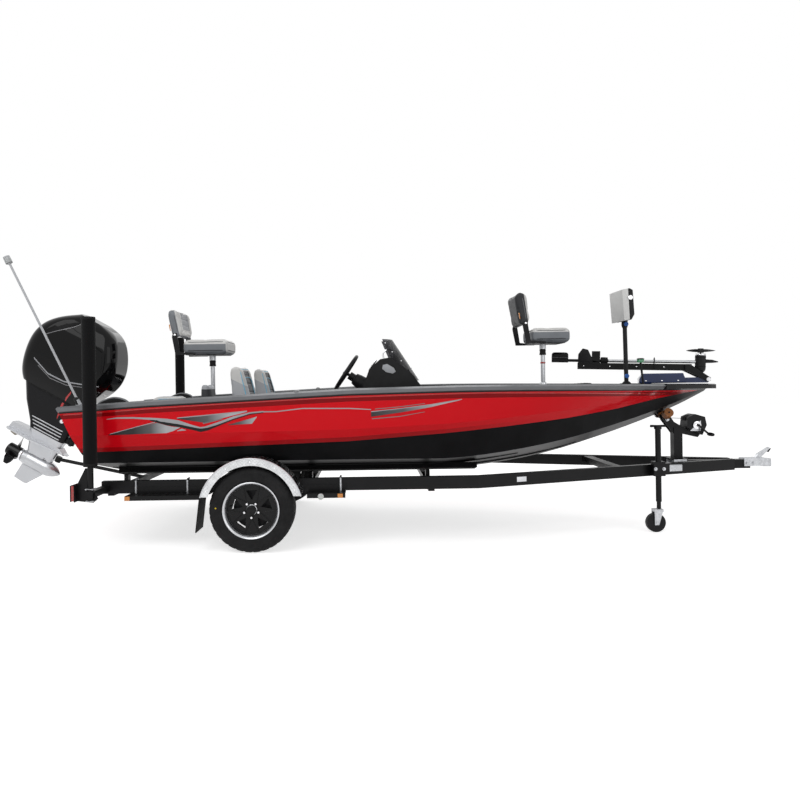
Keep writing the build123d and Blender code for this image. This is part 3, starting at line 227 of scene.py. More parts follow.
def decal(name, columns, mat, skin, body=ROOT, lift=0.0012, mirror=True, step=5.0, row=3.0):
    """Thin coloured film on a skin: columns of (pixel x, upper y, lower y) seen from the camera."""
    bm = bmesh.new()
    fine = []
    for (x0, t0, b0), (x1, t1, b1) in zip(columns, columns[1:]):
        cuts = max(1, int(abs(x1 - x0) / step + 0.5))
        fine += [(x0 + (x1 - x0) * k / cuts, t0 + (t1 - t0) * k / cuts, b0 + (b1 - b0) * k / cuts)
                 for k in range(cuts)]
    fine.append(columns[-1])
    rows = max(1, int(max(abs(b - t) for x, t, b in fine) / row + 0.5))
    grid = []
    for x, top, low in fine:
        line = []
        for k in range(rows + 1):
            hit, normal = skin.ray_cast(EYE, ray(x, top + (low - top) * k / rows))[:2]
            if hit is None:
                line.append(None)
                continue
            if normal.dot(hit - EYE) > 0:
                normal = -normal
            line.append(bm.verts.new(hit + normal * lift))
        grid.append(line)
    for a, b in zip(grid, grid[1:]):
        for k in range(rows):
            quad = (a[k], b[k], b[k + 1], a[k + 1])
            if None not in quad:
                bm.faces.new(quad)
    if mirror:
        copy = bmesh.ops.duplicate(bm, geom=bm.verts[:] + bm.faces[:])["geom"]
        for v in copy:
            if isinstance(v, bmesh.types.BMVert):
                v.co.y = -v.co.y
        bmesh.ops.reverse_faces(bm, faces=[f for f in copy if isinstance(f, bmesh.types.BMFace)])
    bmesh.ops.remove_doubles(bm, verts=bm.verts, dist=1e-5)
    for face in bm.faces:
        face.smooth = True
    mesh = bpy.data.meshes.new(name)
    bm.to_mesh(mesh)
    bm.free()
    obj = bpy.data.objects.new(name, mesh)
    bpy.context.collection.objects.link(obj)
    obj.data.materials.append(mat)
    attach(obj, body)
    return obj


# ---------------------------------------------------------------- materials
class Nodes:
    """Small helper round one material's node tree."""

    def __init__(self, name, colour=(0.5, 0.5, 0.5), rough=0.5, metal=0.0, coat=0.0, coat_rough=0.03, shine=0.3):
        self.mat = bpy.data.materials.new(name)
        self.mat.use_nodes = True
        self.tree = self.mat.node_tree
        self.out = self.tree.nodes["Principled BSDF"]
        self.set("Base Color", (*colour, 1))
        self.set("Roughness", rough)
        self.set("Metallic", metal)
        self.set("Coat Weight", coat)
        self.set("Coat Roughness", coat_rough)
        self.set("Specular IOR Level", shine)
        self.mat.diffuse_color = (*colour, 1)
        self.coords = self.tree.nodes.new("ShaderNodeTexCoord").outputs["Object"]

    def set(self, socket, value):
        self.out.inputs[socket].default_value = value

    def link(self, a, b):
        self.tree.links.new(a, b)

    def add(self, kind, **props):
        node = self.tree.nodes.new(kind)
        for key, value in props.items():
            setattr(node, key, value)
        return node

    def math(self, op, a, b=0.0, c=0.0, clamp=False):
        node = self.add("ShaderNodeMath", operation=op, use_clamp=clamp)
        for k, v in enumerate((a, b, c)):
            if isinstance(v, (int, float)):
                node.inputs[k].default_value = v
            else:
                self.link(v, node.inputs[k])
        return node.outputs[0]

    def rest(self, value):
        """What a share leaves of 1."""
        return self.math("SUBTRACT", 1.0, value)

    def noise(self, scale, detail=4.0, rough=0.55, stretch=None):
        node = self.add("ShaderNodeTexNoise")
        node.inputs["Scale"].default_value = scale
        node.inputs["Detail"].default_value = detail
        node.inputs["Roughness"].default_value = rough
        self.link(self.mapped(stretch), node.inputs["Vector"])
        return node.outputs["Fac"]

    def mapped(self, stretch=None, turn=None):
        if not stretch and not turn:
            return self.coords
        node = self.add("ShaderNodeMapping")
        node.inputs["Scale"].default_value = stretch or (1, 1, 1)
        node.inputs["Rotation"].default_value = turn or (0, 0, 0)
        self.link(self.coords, node.inputs["Vector"])
        return node.outputs["Vector"]

    def voronoi(self, scale, feature="F1", out="Distance"):
        node = self.add("ShaderNodeTexVoronoi", feature=feature)
        node.inputs["Scale"].default_value = scale
        self.link(self.coords, node.inputs["Vector"])
        return node.outputs[out]

    def wave(self, scale, axis="X", turn=None):
        node = self.add("ShaderNodeTexWave", bands_direction=axis, wave_profile="SIN")
        node.inputs["Scale"].default_value = scale
        self.link(self.mapped(turn=turn), node.inputs["Vector"])
        return node.outputs["Fac"]

    def ramp(self, factor, stops):
        node = self.add("ShaderNodeValToRGB")
        elements = node.color_ramp.elements
        while len(elements) > 1:
            elements.remove(elements[-1])
        for k, (place, colour) in enumerate(stops):
            colour = colour if isinstance(colour, tuple) else (colour, colour, colour)
            element = elements[0] if k == 0 else elements.new(place)
            element.position = place
            element.color = (*colour[:3], 1)
        self.link(factor, node.inputs["Fac"])
        return node.outputs["Color"]

    def mix(self, factor, a, b):
        node = self.add("ShaderNodeMix", data_type="RGBA")
        if isinstance(factor, (int, float)):
            node.inputs[0].default_value = factor
        else:
            self.link(factor, node.inputs[0])
        for k, v in ((6, a), (7, b)):
            if isinstance(v, tuple):
                node.inputs[k].default_value = (*v[:3], 1)
            else:
                self.link(v, node.inputs[k])
        return node.outputs[2]

    def colour(self, socket):
        self.link(socket, self.out.inputs["Base Color"])

    def rough(self, factor, low, high):
        self.link(self.ramp(factor, [(0.3, low), (0.7, high)]), self.out.inputs["Roughness"])

    def bump(self, height, strength, distance=0.001, chain=None):
        node = self.add("ShaderNodeBump")
        node.inputs["Strength"].default_value = strength
        node.inputs["Distance"].default_value = distance
        self.link(height, node.inputs["Height"])
        if chain is not None:
            self.link(chain, node.inputs["Normal"])
        self.link(node.outputs["Normal"], self.out.inputs["Normal"])
        return node.outputs["Normal"]

    def station_and_height(self):
        """Station and height on the level drawing, in metres, from the resting place of a surface point."""
        split = self.add("ShaderNodeSeparateXYZ")
        self.link(self.coords, split.inputs[0])
        dx = self.math("SUBTRACT", split.outputs["X"], AXLE)
        dz = self.math("SUBTRACT", split.outputs["Z"], HUB)
        c, s = cos(NOSE_UP), sin(NOSE_UP)
        station = self.math("MULTIPLY_ADD", dx, c, self.math("MULTIPLY_ADD", dz, s, AXLE_STATION / 1000))
        height = self.math("MULTIPLY_ADD", dz, c, self.math("MULTIPLY_ADD", dx, -s, HUB))
        return station, height, split.outputs["Y"]

    def profile(self, station, table, low, high):
        """Height line along the boat from (station mm, height mm) pairs."""
        place = self.math("MULTIPLY_ADD", station, 1 / 6.0, 0.2 / 6.0)
        stops = [((s / 1000 + 0.2) / 6.0, (z / 1000 - low) / (high - low)) for s, z in table]
        return self.math("MULTIPLY_ADD", self.ramp(place, stops), high - low, low)


def scaled(colour, share, extra=0.0):
    """Colour times a share, held at or under 1."""
    return tuple(min(1, c * share + extra) for c in colour)


def step(n, value, edge, soft=0.0004):
    """1 where value is above edge."""
    return n.math("MULTIPLY_ADD", n.math("SUBTRACT", value, edge), 1 / (2 * soft), 0.5, clamp=True)


def band(n, value, low, high):
    return n.math("MULTIPLY", step(n, value, low), n.rest(step(n, value, high)))


def plastic(name, colour, rough=0.5, grain=900, strength=0.25, coat=0.0, vary=0.25):
    """Moulded plastic with a fine leather-like grain and faint scuffs."""
    n = Nodes(name, colour, rough, coat=coat, shine=0.18)
    fine = n.voronoi(grain)
    cloud = n.noise(9, 5)
    n.colour(n.ramp(cloud, [(0.35, scaled(colour, 1 - vary)), (0.65, scaled(colour, 1 + vary, 0.002))]))
    n.rough(n.noise(40, 6), max(0.05, rough - 0.08), min(1, rough + 0.1))
    n.bump(fine, strength, 0.0002)
    return n.mat


def gloss(name, colour, rough=0.18, coat=0.2, shine=0.15):
    """Polished paint or gelcoat: slight waviness and dust in the roughness."""
    n = Nodes(name, colour, rough, 0.0, coat, shine=shine)
    n.colour(n.ramp(n.noise(6, 3), [(0.3, scaled(colour, 0.9)), (0.7, scaled(colour, 1.08))]))
    n.rough(n.noise(30, 6), max(0.03, rough - 0.05), rough + 0.07)
    n.bump(n.noise(3.5, 2), 0.06, 0.01)
    return n.mat


def metal(name, colour, rough=0.3, brushed=False, spangle=0.0, metallic=1.0):
    """Bare or plated metal, brushed lengthwise or with zinc spangle."""
    n = Nodes(name, colour, rough, metallic)
    if spangle:
        cell = n.voronoi(70, out="Color")
        pick = n.add("ShaderNodeSeparateColor")
        n.link(cell, pick.inputs[0])
        n.colour(n.ramp(pick.outputs[0], [(0.0, scaled(colour, 1 - 0.35 * spangle)),
                                          (1.0, scaled(colour, 1 + 0.15 * spangle))]))
        n.rough(pick.outputs[1], rough - 0.1, rough + 0.15)
        n.bump(n.noise(160, 5), 0.15, 0.0006)
    elif brushed:
        grain = n.noise(1.0, 3, stretch=(2, 400, 400))
        n.colour(n.ramp(grain, [(0.2, scaled(colour, 0.85)), (0.8, colour)]))
        n.rough(grain, rough - 0.08, rough + 0.12)
        n.bump(grain, 0.12, 0.0004)
    else:
        n.colour(n.ramp(n.noise(12, 5), [(0.3, scaled(colour, 0.88)), (0.7, colour)]))
        n.rough(n.noise(60, 6), max(0.02, rough - 0.06), rough + 0.08)
        n.bump(n.noise(220, 4), 0.05, 0.0003)
    return n.mat


def paint(name, colour, rough=0.35, peel=0.2):
    """Powder coat with orange peel and dusty patches."""
    n = Nodes(name, colour, rough, coat=0.05, coat_rough=0.15, shine=0.15)
    dust = n.noise(5, 6, 0.65)
    n.colour(n.ramp(dust, [(0.4, colour), (0.85, scaled(colour, 1.6, 0.004))]))
    n.rough(dust, rough - 0.05, rough + 0.2)
    n.bump(n.noise(420, 2), peel, 0.0004)
    return n.mat


def fabric(name, colour, scale=650, rough=0.95, fleck=0.3, height=0.6):
    """Short-pile carpet or webbing."""
    n = Nodes(name, colour, rough, shine=0.1)
    pile = n.noise(scale, 3, 0.7)
    flecked = n.ramp(pile, [(0.3, scaled(colour, 1 - fleck)), (0.7, scaled(colour, 1 + fleck))])
    n.colour(n.mix(n.noise(30, 5), flecked, scaled(colour, 0.9)))
    n.set("Sheen Weight", 0.06)
    n.set("Sheen Roughness", 0.6)
    n.bump(pile, height, 0.0015)
    return n.mat


def creased(n, rough):
    """Fine grain and soft creases of marine vinyl."""
    n.rough(n.noise(50, 4), rough - 0.08, rough + 0.1)
    first = n.bump(n.voronoi(520, "SMOOTH_F1"), 0.22, 0.0005)
    n.bump(n.noise(16, 3), 0.1, 0.004, chain=first)
    return n.mat


def vinyl(name, colour, rough=0.5):
    """Marine vinyl of one colour, faintly soiled in random patches."""
    n = Nodes(name, colour, rough)
    n.colour(n.ramp(n.noise(7, 6, 0.6), [(0.3, scaled(colour, 0.86)), (0.62, colour)]))
    return creased(n, rough)


colour_line = ((-120, 762), (730, 787), (2270, 834), (3030, 883), (3530, 925), (4060, 975), (4560, 1040),
               (4970, 1112), (5300, 1155), (5560, 1188))
sheer_line = ((-120, 1118), (730, 1168), (2270, 1236), (3030, 1248), (3530, 1248), (4060, 1242), (4560, 1234),
              (4970, 1227), (5300, 1222), (5560, 1218))


def hull_material():
    n = Nodes("hull_gelcoat", (0.6, 0.012, 0.02), 0.2, coat=0.05, shine=0.05)
    station, height, y = n.station_and_height()
    cell = n.add("ShaderNodeSeparateColor")
    n.link(n.voronoi(1500, out="Color"), cell.inputs[0])
    sparkle = n.math("MULTIPLY", step(n, cell.outputs[0], 0.75, 0.12), 0.5)
    red = n.mix(sparkle, (0.68, 0.0015, 0.008), (0.95, 0.012, 0.020))
    sheer = n.profile(station, sheer_line, 1.0, 1.3)
    depth = n.math("SUBTRACT", sheer, height)
    # painted shadow: a darker red band 56 to 90 mm under the sheer stands in for the shade the gunwale rail casts
    # on the hull side
    painted_rail_shadow = band(n, depth, 0.056, 0.090)
    red = n.mix(n.math("MULTIPLY", painted_rail_shadow, 0.75), red, (0.10, 0.001, 0.002))
    red = n.mix(band(n, depth, -0.01, 0.046), red, (0.02, 0.02, 0.021))
    line = n.profile(station, colour_line, 0.7, 1.25)
    above = n.math("SUBTRACT", height, line)
    low_strip = n.math("MULTIPLY", band(n, above, 0.0, 0.034), n.rest(step(n, station, 3.3, 0.6)))
    red = n.mix(n.math("MULTIPLY", low_strip, 0.6), red, (0.16, 0.002, 0.003))
    black = n.ramp(n.noise(4, 5), [(0.3, (0.003, 0.003, 0.0032)), (0.8, (0.009, 0.009, 0.010))])
    skin = n.mix(step(n, above, 0.0), black, red)
    breadth = n.math("ABSOLUTE", y)
    inside = 0.0
    for reach, first, last, floor in ((0.8012, 1.129, 2.881, 0.7385), (0.80, 0.26, 1.13, 0.74),
                                      (0.74, 2.88, 3.75, 0.90)):
        pocket = n.math("MULTIPLY", n.rest(step(n, breadth, reach)),
                        n.math("MULTIPLY", band(n, station, first, last), step(n, height, floor)))
        inside = n.math("MAXIMUM", inside, pocket)
    lining = n.ramp(n.noise(500, 3), [(0.3, (0.10, 0.102, 0.108)), (0.7, (0.2, 0.204, 0.212))])
    deck_edge = n.rest(step(n, depth, 0.003, 0.0006))
    skin = n.mix(deck_edge, skin, (0.02, 0.02, 0.022))
    n.colour(n.mix(inside, skin, lining))
    matte = n.math("MULTIPLY_ADD", inside, 0.65, n.math("MULTIPLY_ADD", step(n, above, 0.0), -0.16, 0.36))
    n.link(n.math("MULTIPLY_ADD", n.noise(25, 5), 0.06, matte), n.out.inputs["Roughness"])
    painted = n.math("MULTIPLY", n.rest(inside), step(n, above, 0.0))
    n.link(n.math("MULTIPLY", painted, 0.12), n.out.inputs["Coat Weight"])
    n.bump(n.noise(2.5, 2), 0.08, 0.012)
    return n.mat


def tread_plate():
    """Bright aluminium sheet with raised diamond lugs, two directions."""
    n = Nodes("tread_plate", (0.68, 0.69, 0.7), 0.26, 1.0)
    a = n.wave(16, "X", turn=(0, radians(45), 0))
    b = n.wave(16, "Z", turn=(0, radians(45), 0))
    c = n.wave(24, "Y")
    lugs = n.math("MULTIPLY", n.math("GREATER_THAN", n.math("MULTIPLY", a, b), 0.55), step(n, c, 0.45, 0.1))
    n.colour(n.ramp(n.noise(14, 4), [(0.3, (0.50, 0.51, 0.52)), (0.7, (0.68, 0.69, 0.70))]))
    n.rough(n.noise(50, 5), 0.12, 0.3)
    n.bump(lugs, 0.8, 0.0018)
    return n.mat


def glass_smoked():
    n = Nodes("smoked_acrylic", (0.025, 0.025, 0.03), 0.06)
    n.set("Transmission Weight", 0.75)
    n.set("IOR", 1.25)
    n.set("Alpha", 0.86)
    n.rough(n.noise(30, 4), 0.04, 0.09)
    n.colour(n.ramp(n.noise(5, 2), [(0.3, (0.02, 0.02, 0.024)), (0.7, (0.035, 0.035, 0.04))]))
    return n.mat


def lens(name, colour):
    n = Nodes(name, colour, 0.15, coat=1.0)
    n.set("Subsurface Weight", 0.1)
    ribs = n.wave(60, "Z")
    n.colour(n.ramp(ribs, [(0.0, scaled(colour, 0.6)), (1.0, colour)]))
    n.bump(ribs, 0.4, 0.001)
    return n.mat


M_HULL = hull_material()
M_BLACK = gloss("black_gloss", (0.005, 0.005, 0.0055), 0.16, 0.06, shine=0.08)
M_COWL = gloss("cowl_black", (0.003, 0.003, 0.0033), 0.06, 0.20, shine=0.08)
M_MATT = plastic("black_moulding", (0.010, 0.010, 0.011), 0.48)
M_DARK = plastic("dark_rubber", (0.007, 0.007, 0.0075), 0.7, 500, 0.35)
M_CONSOLE = plastic("console_moulding", (0.006, 0.006, 0.0065), 0.42, 700, 0.2, coat=0.05)
M_ALU = metal("rail_aluminium", (0.62, 0.63, 0.65), 0.32, brushed=True)
M_STEEL = metal("galvanised", (0.52, 0.53, 0.55), 0.42, spangle=0.45)
M_CHROME = metal("chrome", (0.86, 0.86, 0.88), 0.06)
M_CAST = metal("motor_silver", (0.55, 0.56, 0.58), 0.3, metallic=0.8)
M_FRAME = paint("trailer_black", (0.005, 0.005, 0.0055), 0.35)
M_SPRING = paint("spring_steel", (0.03, 0.03, 0.032), 0.5)
M_CARPET = fabric("deck_carpet", (0.13, 0.135, 0.145))
M_BUNK = fabric("bunk_carpet", (0.006, 0.006, 0.0065))
M_STRAP = fabric("strap_webbing", (0.02, 0.02, 0.022), 900, 0.8, 0.3, 0.4)
M_TREAD = tread_plate()
M_TYRE = plastic("tyre_rubber", (0.012, 0.012, 0.0125), 0.72, 260, 0.25)
M_RIMBLACK = gloss("rim_black", (0.005, 0.005, 0.0055), 0.25, 0.1)
M_RIM = metal("rim_machined", (0.58, 0.59, 0.61), 0.30)
M_GLASS = glass_smoked()
M_AMBER = lens("amber_lens", (0.85, 0.3, 0.02))
M_RED = lens("red_lens", (0.6, 0.02, 0.015))
M_GREEN = lens("green_lens", (0.02, 0.3, 0.12))
M_ROLLER = plastic("roller_amber", (0.32, 0.12, 0.035), 0.35, 400, 0.1)
M_CREAM = vinyl("cream_vinyl", (0.66, 0.65, 0.62))
M_GREY = vinyl("grey_vinyl", (0.16, 0.165, 0.175))
M_CHAR = vinyl("charcoal_vinyl", (0.045, 0.047, 0.052))
M_BLUE = vinyl("blue_piping", (0.20, 0.55, 0.75))
M_WHITE = plastic("white_cover", (0.72, 0.72, 0.71), 0.5, 700, 0.08, vary=0.04)
M_NAVY = gloss("navy_wrap", (0.012, 0.028, 0.11), 0.22, 0.7)
M_IRON = paint("engine_iron", (0.05, 0.05, 0.055), 0.6)
M_SILVER = gloss("silver_film", (0.40, 0.41, 0.43), 0.35, 0.1)
M_REDFILM = gloss("red_film", (0.6, 0.01, 0.012), 0.25, 0.8)
M_BLACKFILM = gloss("black_film", (0.006, 0.006, 0.0065), 0.3, 0.1)
M_GREYFILM = gloss("grey_film", (0.2, 0.2, 0.21), 0.3, 0.7)


def faded(name, dark_at, light_at):
    """Film that runs from black at one station to silver at another."""
    n = Nodes(name, (0.2, 0.2, 0.21), 0.33, coat=0.1)
    station = n.station_and_height()[0]
    share = n.math("MULTIPLY", n.math("SUBTRACT", station, dark_at), 1 / (light_at - dark_at), clamp=True)
    n.colour(n.ramp(share, [(0.0, (0.006, 0.006, 0.0065)), (0.55, (0.10, 0.10, 0.105)), (1.0, (0.46, 0.47, 0.49))]))
    n.rough(n.noise(30, 6), 0.28, 0.42)
    return n.mat


M_FADE = faded("film_fade_aft", 0.60, 0.86)
M_FADE_UP = faded("film_fade_up", 0.98, 1.35)
M_FADE_MID = faded("film_fade_mid", 1.30, 1.55)
M_FADE_FORE = faded("film_fade_fore", 2.40, 2.95)
M_YELLOW = plastic("paint_dot", (0.75, 0.55, 0.03), 0.5, 600, 0.1)
M_ANODE = metal("anode_zinc", (0.42, 0.38, 0.32), 0.6, spangle=0.4, metallic=0.4)
M_PROP = gloss("propeller_black", (0.005, 0.005, 0.0055), 0.22, 0.2)
M_DIAL = gloss("dial_face", (0.02, 0.02, 0.022), 0.15, 1.0)
M_BLUEKNOB = plastic("blue_knob", (0.03, 0.12, 0.42), 0.4, 500, 0.2)
M_STEELPOLE = metal("shaft_steel", (0.52, 0.53, 0.55), 0.34)


def pole_coat():
    n = Nodes("pole_coat", (0.5, 0.51, 0.53), 0.45)
    n.colour(n.ramp(n.noise(5, 3), [(0.3, (0.46, 0.47, 0.49)), (0.7, (0.52, 0.53, 0.55))]))
    n.rough(n.noise(12, 3), 0.42, 0.5)
    return n.mat


M_POLE = pole_coat()
M_LAMPWHITE = lens("white_lens", (0.75, 0.76, 0.74))


def globe_clear():
    n = Nodes("clear_globe", (0.6, 0.62, 0.62), 0.15)
    n.set("Transmission Weight", 0.35)
    n.set("IOR", 1.4)
    n.rough(n.noise(30, 4), 0.12, 0.22)
    return n.mat


NO_LIMIT = 9                          # reach of a two_tone box that has no edge that way


def two_tone(name, outer, inner, centre, half, rough=0.5, slope=0.0, insert=None, lean=0.0):
    """Marine vinyl with a second colour inside a box about a centre, its top sloped, and a dark insert."""
    n = Nodes(name, outer, rough)
    station, height, y = n.station_and_height()
    plain_height = height
    if lean:
        station = n.math("MULTIPLY_ADD", n.math("SUBTRACT", height, centre[2]), lean, station)
    if slope:
        height = n.math("MULTIPLY_ADD", n.math("SUBTRACT", station, centre[0]), slope, height)
    inside = None
    for value, mid, reach in ((station, centre[0], half[0]), (y, centre[1], half[1]), (height, centre[2], half[2])):
        if reach >= NO_LIMIT:
            continue
        part = n.rest(step(n, n.math("ABSOLUTE", n.math("SUBTRACT", value, mid)), reach, 0.0008))
        inside = part if inside is None else n.math("MULTIPLY", inside, part)
    soil = n.ramp(n.noise(7, 6, 0.6), [(0.3, 0.88), (0.62, 1.0)])
    skin = n.mix(inside, outer, inner)
    if insert:
        colour, mid, reach, ahead, floor_z, top_z = insert
        off = n.math("ABSOLUTE", n.math("SUBTRACT", n.math("ABSOLUTE", y), mid))
        spot = n.rest(step(n, off, reach, 0.0008))
        spot = n.math("MULTIPLY", spot, step(n, station, ahead, 0.0008))
        spot = n.math("MULTIPLY", spot, band(n, plain_height, floor_z, top_z))
        skin = n.mix(spot, skin, colour)
    blend = n.add("ShaderNodeMix", data_type="RGBA", blend_type="MULTIPLY")
    blend.inputs[0].default_value = 1.0
    n.link(skin, blend.inputs[6])
    n.link(soil, blend.inputs[7])
    n.colour(blend.outputs[2])
    return creased(n, rough)


CREAM, GREY, CHAR = (0.74, 0.735, 0.72), (0.50, 0.515, 0.54), (0.05, 0.052, 0.058)
SIDE = (0.23, 0.245, 0.265)
M_GLOBE = globe_clear()
M_SEATPAN = two_tone("bench_vinyl", CREAM, GREY, (1.655, 0.0, 1.0), (0.115, NO_LIMIT, NO_LIMIT))
M_SEATBACK = two_tone("bench_back_vinyl", CREAM, GREY, (1.38, 0.0, 1.16), (NO_LIMIT, NO_LIMIT, 0.14), slope=0.5,
                      insert=(CHAR, 0.555, 0.125, 1.33, 1.20, 1.40))
M_SEATBACK2 = two_tone("step_pad_vinyl", GREY, CHAR, (1.01, 0.0, 1.2), (NO_LIMIT, NO_LIMIT, 0.05))
M_SEATPAN2 = two_tone("aft_pad_vinyl", CREAM, GREY, (0.725, -0.51, 1.13), (0.10, 0.085, NO_LIMIT))
M_REARPAN = two_tone("rear_pan_vinyl", CREAM, SIDE, (0.90, 0.0, 1.585), (0.245, NO_LIMIT, 0.072))
M_FRONTPAN = two_tone("front_pan_vinyl", CREAM, SIDE, (4.0, 0.0, 1.650), (0.26, NO_LIMIT, 0.072))
M_REARREST = two_tone("rear_rest_vinyl", CREAM, SIDE, (0.616, 0.0, 1.77), (0.105, NO_LIMIT, 0.195), lean=0.2,
                      insert=((0.34, 0.35, 0.37), 0.0, 0.125, 0.72, 1.80, 1.95))
M_FRONTREST = two_tone("front_rest_vinyl", CREAM, (0.03, 0.031, 0.034), (3.763, 0.0, 1.95),
                       (0.105, NO_LIMIT, 0.155), lean=0.147, insert=((0.34, 0.35, 0.37), 0.0, 0.125, 3.855, 1.86,
                                                                     2.06))


def leg_material():
    """Drive leg: black upper cover over a silver lower leg, divided square to the leg."""
    n = Nodes("leg_paint", (0.5, 0.5, 0.52), 0.3, 0.75)
    away = n.add("ShaderNodeVectorMath", operation="SUBTRACT")
    n.link(n.coords, away.inputs[0])
    away.inputs[1].default_value = MOTOR.translation
    along = n.add("ShaderNodeVectorMath", operation="DOT_PRODUCT")
    n.link(away.outputs[0], along.inputs[0])
    along.inputs[1].default_value = MOTOR.to_3x3() @ Vector((0, 0, 1))
    silver = n.ramp(n.noise(3, 3), [(0.3, (0.50, 0.51, 0.53)), (0.7, (0.57, 0.58, 0.60))])
    n.colour(n.mix(step(n, along.outputs["Value"], -0.41, 0.002), silver, (0.012, 0.012, 0.013)))
    n.rough(n.noise(9, 3), 0.27, 0.33)
    n.bump(n.noise(300, 2), 0.02, 0.0002)
    return n.mat


M_LEG = leg_material()


def lamp_material():
    """Red lenses at the stern, amber ones on the steps."""
    n = Nodes("lamp_lens", (0.6, 0.02, 0.015), 0.15, coat=1.0)
    station = n.station_and_height()[0]
    ribs = n.wave(60, "Z")
    red = n.ramp(ribs, [(0.0, (0.32, 0.01, 0.008)), (1.0, (0.6, 0.02, 0.015))])
    amber = n.ramp(ribs, [(0.0, (0.55, 0.17, 0.01)), (1.0, (0.85, 0.32, 0.02))])
    n.colour(n.mix(step(n, station, 0.45), red, amber))
    n.bump(ribs, 0.4, 0.001)
    return n.mat


M_RAIL = metal("rail_grey", (0.17, 0.175, 0.185), 0.42, metallic=0.5)

# Finish of each CAD node; a skin that stands for a node brings its own
for mat, names in (
    (M_HULL, "hull"),
    (M_RAIL, "gunwale_rail"),
    (M_BLACK, "bow_cap stern_handles propeller"),
    (M_CARPET, "deck lid_port lid_starboard lid_aft"),
    (M_CONSOLE, "console"),
    (M_MATT, "steering_wheel throttle rear_seat_frame front_seat_frame bow_light fishfinder "
     "foot_pedal trolling_motor trolling_prop winch jack_wheel"),
    (M_GLASS, "windshield"),
    (M_GREY, "seat_bases"),
    (M_CREAM, "cockpit_cushions cockpit_backrests rear_seat_cushion front_seat_cushion"),
    (M_STEELPOLE, "pedestals"),
    (M_CHAR, "rear_seat_back front_seat_back"),
    (M_POLE, "stern_light"),
    (M_NAVY, "trolling_base"),
    (M_FRAME, "trolling_bed clamp_bracket swivel_bracket trailer_frame side_steps axle "
     "post_brackets winch_stand jack transom_saver"),
    (M_LEG, "midsection"),
    (M_COWL, "cowl"),
    (M_IRON, "powerhead"),
    (M_BUNK, "bunks guide_posts"),
    (M_TYRE, "tyre_left tyre_right"),
    (M_RIMBLACK, "wheel_left wheel_right"),
    (M_SPRING, "leaf_springs"),
    (M_TREAD, "fenders"),
    (M_DARK, "mudflaps"),
    (lamp_material(), "lamps"),
    (M_ROLLER, "bow_rollers"),
    (M_STRAP, "winch_strap"),
    (M_STEEL, "coupler jack_fork"),
):
    for name in names.split():
        slots = nodes[name].data.materials
        slots.clear()
        slots.append(mat)

# ---------------------------------------------------------------- helpers for placing
SLOPE = 0.0148                        # tangent of NOSE_UP
SIDES = ((-1, "s"), (1, "p"))


def sta(px, y):
    """Station seen at a picture column, for a surface at breadth y, in millimetres."""
    return EYE_STATION + (px - VANISH_X) * PX_MM * (EYE_BACK + y / 1000)


def hgt(py, y, station):
    """Height on the level drawing seen at a picture row."""
    return EYE_HEIGHT - (py - VANISH_Y) * PX_MM * (EYE_BACK + y / 1000) - SLOPE * (station - AXLE_STATION)


def box(name, x, y, z, mat, bevel):
    """Block on the root between pairs of station, breadth and height in millimetres."""
    low, high = ((STERN + pick(x) / 1000, pick(y) / 1000, pick(z) / 1000) for pick in (min, max))
    return block(name, low, high, mat, ROOT, bevel=bevel)


def bolt(name, origin, axis, radius, height, mat, body, where=LEVEL, dome=False):
    """Hexagon bolt head on a washer, or a domed rivet."""
    o, d = Vector(origin), Vector(axis).normalized()
    if dome:
        prof = [(radius, 0), (radius, height * 0.25), (radius * 0.8, height * 0.75), (radius * 0.4, height),
                (0.0, height * 1.05)]
        return lathe(name, prof, o, d, mat, body, where, steps=16)
    a = lathe(name, [(radius * 1.5, 0), (radius * 1.5, height * 0.2), (radius * 0.9, height * 0.22)], o, d, mat,
              body, where, steps=20)
    b = lathe(name + "_h", [(radius, height * 0.2), (radius, height * 0.85), (radius * 0.85, height)], o, d, mat,
              body, where, steps=6, crease=20)
    return join(name, [a, b])


